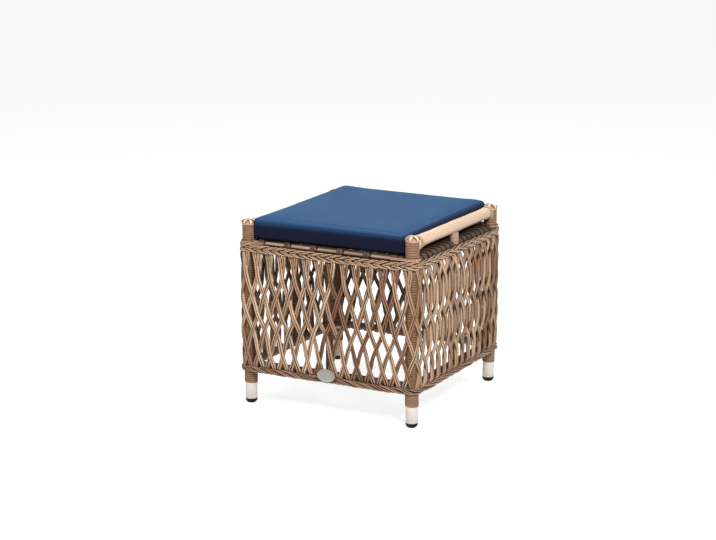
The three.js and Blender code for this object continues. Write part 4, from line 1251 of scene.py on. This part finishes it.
def swollenPoints(piece):
    cloth = piece.modifiers.new("cloth", "CLOTH")
    cloth.settings.use_pressure = True
    cloth.settings.uniform_pressure_force = cushion["pressure"]
    cloth.settings.effector_weights.gravity = 0
    cloth.settings.quality = 5
    cloth.settings.tension_stiffness = 20
    cloth.settings.bending_stiffness = 0.8
    cloth.collision_settings.use_collision = False
    for step in range(1, cushion["frames"] + 1):
        scene.frame_set(step)
    graph = bpy.context.evaluated_depsgraph_get()
    moved = piece.evaluated_get(graph).to_mesh()
    points = np.array([v.co for v in moved.vertices])
    piece.modifiers.clear()
    scene.frame_set(1)
    return points


def inflate(piece):
    remesh = piece.modifiers.new("remesh", "REMESH")
    remesh.mode = "VOXEL"
    remesh.voxel_size = cushion["voxel"]
    applyModifiers(piece)
    rest = np.array([v.co for v in piece.data.vertices])
    shift = swollenPoints(piece) - rest
    normals = np.array([v.normal for v in piece.data.vertices])
    # the foam keeps the cover from falling in, so only what swells outwards counts
    shift -= normals * np.minimum(0, (shift * normals).sum(axis=1, keepdims=True))
    length = np.linalg.norm(shift, axis=1, keepdims=True)
    held = shift * np.minimum(1, cushion["swell"] / np.maximum(length, 1e-9))
    held[rest[:, 2] < cushion["base"] + 0.004, 2] = 0  # it lies flat on the seat
    place = rest + held
    place[:, 2] = np.maximum(place[:, 2], cushion["base"])
    # the corners are pressed in where they meet the posts
    for signX, signY in corners.values():
        away = place[:, :2] - (signX * spread, signY * spread)
        reach = np.linalg.norm(away, axis=1, keepdims=True)
        place[:, :2] += away / reach * np.maximum(cushion["postGap"] - reach, 0)
    piece.data.vertices.foreach_set("co", place.astype(np.float32).ravel())
    piece.data.update()


# a flat map of each face in metres, as the panels of a cover are cut
def layPanels(mesh):
    panels = mesh.uv_layers.new(name="panel")
    normals = [polygon.normal.copy() for polygon in mesh.polygons]
    for polygon, normal in zip(mesh.polygons, normals):
        for loop in polygon.loop_indices:
            x, y, z = mesh.vertices[mesh.loops[loop].vertex_index].co
            if abs(normal.z) > 0.6:
                panels.data[loop].uv = (x, y)
            elif abs(normal.y) > abs(normal.x):
                panels.data[loop].uv = (x, z)
            else:
                panels.data[loop].uv = (y, z)


def clothMaterial():
    material, tree, shader = newMaterial("navyCloth", {"Sheen Weight": 0.04, "Sheen Roughness": 0.5,
                                                       "Specular IOR Level": 0.12})
    woven = addGroup(tree, weaveGroup, {"Threads": clothLook["threads"]})
    place = objectPlace(tree)
    parts = addNode(tree, "ShaderNodeSeparateXYZ", {0: place})
    # painted light: the colour turns from the sides' navy to the top's lighter navy with height
    paintedTopLight = remap(tree, parts["Z"], clothLook["topFrom"], clothLook["topTo"], curve="SMOOTHSTEP")
    # painted shade: the cloth turns darker where the cover rolls over its left and right edges, and at its foot
    roll = remap(tree, maths(tree, "ABSOLUTE", parts["X"]), clothLook["rollFrom"], clothLook["rollTo"], 1.0,
                 clothLook["rollShade"], "SMOOTHSTEP")
    foot = remap(tree, parts["Z"], clothLook["footFrom"], clothLook["footTo"], clothLook["footShade"], 1.0,
                 "SMOOTHSTEP")
    colour = colourRamp(tree, maths(tree, "MULTIPLY", paintedTopLight, roll), clothLook["tones"])
    shade = remap(tree, noise(tree, place, 9.0, 3.0), 0.3, 0.7, 0.93, 1.07)
    thread = remap(tree, woven["Shade"], 0, 1, 0.9, 1.1)
    # painted shade in the valleys between the threads
    valleyShade = remap(tree, woven["Height"], 0, 1, 0.72, 1.1)
    for factor in (thread, valleyShade, foot):
        shade = maths(tree, "MULTIPLY", shade, factor)
    setInputs(tree, shader, {"Base Color": vectors(tree, "SCALE", colour, shade),
                             "Roughness": remap(tree, woven["Height"], 0, 1, 0.85, 0.68)})
    addBump(tree, shader, woven["Height"], 0.3, 0.0003)
    return material


navyCloth = clothMaterial()


def makeCushion():
    piece = newPiece("cushion_soft", cushionForm(), navyCloth)
    inflate(piece)
    divide = piece.modifiers.new("divide", "SUBSURF")
    divide.levels = divide.render_levels = 1
    applyModifiers(piece)
    layPanels(piece.data)
    piece.data.polygons.foreach_set("use_smooth", [True] * len(piece.data.polygons))
    piece.data.materials.clear()
    piece.data.materials.append(navyCloth)
    finishPiece(piece, "cushion_fabric", "cushion_cover", "cushion_foam", body="cushion")
    return piece


# seams and stitches: level of each seam, and which way its stitches lie
seams = {"levels": [(0.4366, -1), (0.3990, 1)], "radius": 0.0007, "stitchRadius": 0.0003, "pitch": 0.0042,
         "gap": 0.0032, "stitch": (0.0003, 0.00032, 0.0015)}


# a closed line laid on the cushion
def layOn(surface, points, radius):
    hits = [surface.find_nearest(point) for point in points]
    return {"points": [hit + normal * 0.0001 for hit, normal, _, _ in hits], "radius": radius, "tone": 0.5,
            "closed": True, "outward": np.array([normal for _, normal, _, _ in hits])}


def setBeads(name, bead, lines, spacing, material):
    source = link(bpy.data.objects.new(name + "Bead", toMesh(name + "Bead", bead)))
    piece = runTree(name, linesMesh(name, lines), beadTree,
                    {"Bead": source, "Spacing": spacing, "Material": material})
    bpy.data.objects.remove(source)
    return piece


def makeSeams(surface):
    welts, stitches = [], []
    for level, way in seams["levels"]:
        loop = [Vector(point) for point in cushionOutline(0, level)]
        fine = [a.lerp(b, share) for a, b in zip(loop, loop[1:] + loop[:1]) for share in (0, 0.5)]
        welts.append(layOn(surface, fine, seams["radius"]))
        beside = [point + Vector((0, 0, way * seams["gap"])) for point in fine]
        stitches.append(layOn(surface, beside, seams["stitchRadius"]))
    finishPiece(sweepLines("cushion_seams", welts, navyCloth), "cushion_fabric", body="cushion")
    bead = bmesh.new()
    bmesh.ops.create_icosphere(bead, subdivisions=1, radius=1)
    bmesh.ops.scale(bead, verts=bead.verts, vec=seams["stitch"])
    piece = setBeads("cushion_stitches", bead, stitches, seams["pitch"], threadCloth)
    finishPiece(piece, "cushion_fabric", body="cushion")


# slider: size and place of each of its blocks
zipper = {"half": 0.158, "height": 0.4190, "stations": 80, "tapeApart": 0.0021, "tapeHalf": 0.0018,
          "pitch": 0.0016, "tooth": (0.0012, 0.0016, 0.0009), "toothBevel": 0.00025, "teethOut": 0.0006,
          "slider": [((0.0105, 0.0022, 0.0062), (0, 0.0010, 0)), ((0.0032, 0.0028, 0.0022), (0, 0.0030, 0)),
                     ((0.0180, 0.0010, 0.0048), (-0.0085, 0.0046, -0.0004))]}


def makeZip(surface):
    back = [surface.ray_cast(Vector((x, 0.3, zipper["height"])), Vector((0, -1, 0)))[0]
            for x in np.linspace(-zipper["half"], zipper["half"], zipper["stations"])]

    def besideBack(shift, radius):
        return {"points": [point + Vector(shift) for point in back], "radius": radius, "tone": 0.5,
                "outward": (0, 1, 0)}

    lines = [besideBack((0, 0.0001, sign * zipper["tapeApart"]), zipper["tapeHalf"]) for sign in (-1, 1)]
    finishPiece(sweepLines("zip_tape", lines, tapeCloth, 10, 0.3), "zip", "cushion_zip", body="cushion")

    bead = bmesh.new()
    bmesh.ops.create_cube(bead, size=1)
    bmesh.ops.scale(bead, verts=bead.verts, vec=zipper["tooth"])
    bmesh.ops.bevel(bead, geom=bead.edges, offset=zipper["toothBevel"], segments=1, affect="EDGES")
    lines = [besideBack((sign * 0.0004, zipper["teethOut"], sign * 0.0005), 0.001) for sign in (-1, 1)]
    finishPiece(setBeads("zip_teeth", bead, lines, zipper["pitch"], zipMetal), "zip", body="cushion")

    bm = bmesh.new()
    for size, shift in zipper["slider"]:
        box = bmesh.ops.create_cube(bm, size=1)["verts"]
        bmesh.ops.scale(bm, verts=box, vec=size)
        bmesh.ops.translate(bm, verts=box, vec=back[-6] + Vector(shift))
    bmesh.ops.bevel(bm, geom=bm.edges, offset=0.0006, segments=3, affect="EDGES")
    finishPiece(newPiece("zip_slider", bm, zipMetal), "zip", body="cushion")


def surfaceOf(piece):
    bm = bmesh.new()
    bm.from_mesh(piece.data)
    surface = BVHTree.FromBMesh(bm)
    bm.free()
    return surface


cushionSurface = surfaceOf(makeCushion())
makeSeams(cushionSurface)
makeZip(cushionSurface)
print("cushion made")


# floor, light and camera

stage = {"floorRadius": 30, "floorGlow": 0.80, "worldFill": 0.24, "aim": (0, 0, 0.25),
         "lamps": [("key", (1.9, -1.7, 2.2), 1.1, 79), ("fill", (-1.6, -2.2, 1.4), 1.8, 18),
                   ("top", (-0.2, 0.6, 2.4), 1.6, 26)]}  # name, place, size, power
# in degrees, metres and photo pixels
view = {"azimuth": 28.0379, "elevation": 13.0022, "roll": -0.1447, "distance": 4.6602,
        "target": (-0.16733, 0.24354, 0.230), "focal": 1844.37, "photoWidth": 716, "sensor": 36}


def makeStage():
    bm = bmesh.new()
    bmesh.ops.create_circle(bm, cap_ends=True, radius=stage["floorRadius"], segments=64)
    material = bpy.data.materials.new("paleFloor")
    material.use_nodes = True
    tree = material.node_tree
    tree.nodes.clear()
    rays = addNode(tree, "ShaderNodeLightPath")
    seen = maths(tree, "MAXIMUM", rays["Is Camera Ray"], rays["Is Glossy Ray"])
    seen = maths(tree, "MAXIMUM", seen, rays["Is Transmission Ray"])
    glow = maths(tree, "MULTIPLY", seen, stage["floorGlow"])
    paint = addNode(tree, "ShaderNodeBsdfDiffuse", {"Color": (0.55, 0.55, 0.55, 1)})[0]
    light = addNode(tree, "ShaderNodeEmission", {"Color": (1, 1, 1, 1), "Strength": glow})[0]
    both = addNode(tree, "ShaderNodeAddShader", {0: paint, 1: light})[0]
    addNode(tree, "ShaderNodeOutputMaterial", {"Surface": both})
    newPiece("floor", bm, material, False)


def makeLight():
    world = bpy.data.worlds.new("studio")
    scene.world = world
    world.use_nodes = True
    tree = world.node_tree
    rays = addNode(tree, "ShaderNodeLightPath")
    seen = maths(tree, "MAXIMUM", rays["Is Camera Ray"], rays["Is Glossy Ray"])
    setInputs(tree, tree.nodes["Background"], {"Strength": remap(tree, seen, 0, 1, stage["worldFill"], 1.0),
                                               "Color": (1, 1, 1, 1)})
    for name, place, size, power in stage["lamps"]:
        data = bpy.data.lights.new(name, "AREA")
        data.shape = "DISK"
        data.size = size
        data.energy = power
        lamp = link(bpy.data.objects.new(name, data))
        lamp.location = place
        lamp.rotation_mode = "QUATERNION"
        lamp.rotation_quaternion = (Vector(stage["aim"]) - Vector(place)).to_track_quat("-Z", "Y")


def makeCamera():
    azimuth, elevation, roll = (math.radians(view[angle]) for angle in ("azimuth", "elevation", "roll"))
    back = Vector((math.sin(azimuth) * math.cos(elevation), -math.cos(azimuth) * math.cos(elevation),
                   math.sin(elevation)))
    right = (-back).cross(Vector((0, 0, 1))).normalized()
    up = right.cross(-back)
    rightRolled = right * math.cos(roll) + up * math.sin(roll)
    upRolled = -right * math.sin(roll) + up * math.cos(roll)
    place = Vector(view["target"]) + back * view["distance"]
    data = bpy.data.cameras.new("camera")
    data.lens = view["focal"] / view["photoWidth"] * view["sensor"]
    data.sensor_width = view["sensor"]
    data.clip_end = 200
    camera = link(bpy.data.objects.new("camera", data))
    camera.matrix_world = Matrix([(*row, far) for row, far in zip(zip(rightRolled, upRolled, back), place)]
                                 + [(0, 0, 0, 1)])
    scene.camera = camera


makeStage()
makeLight()
makeCamera()
scene.view_settings.view_transform = "Standard"
print("stage, light and camera made")

bpy.context.view_layer.update()
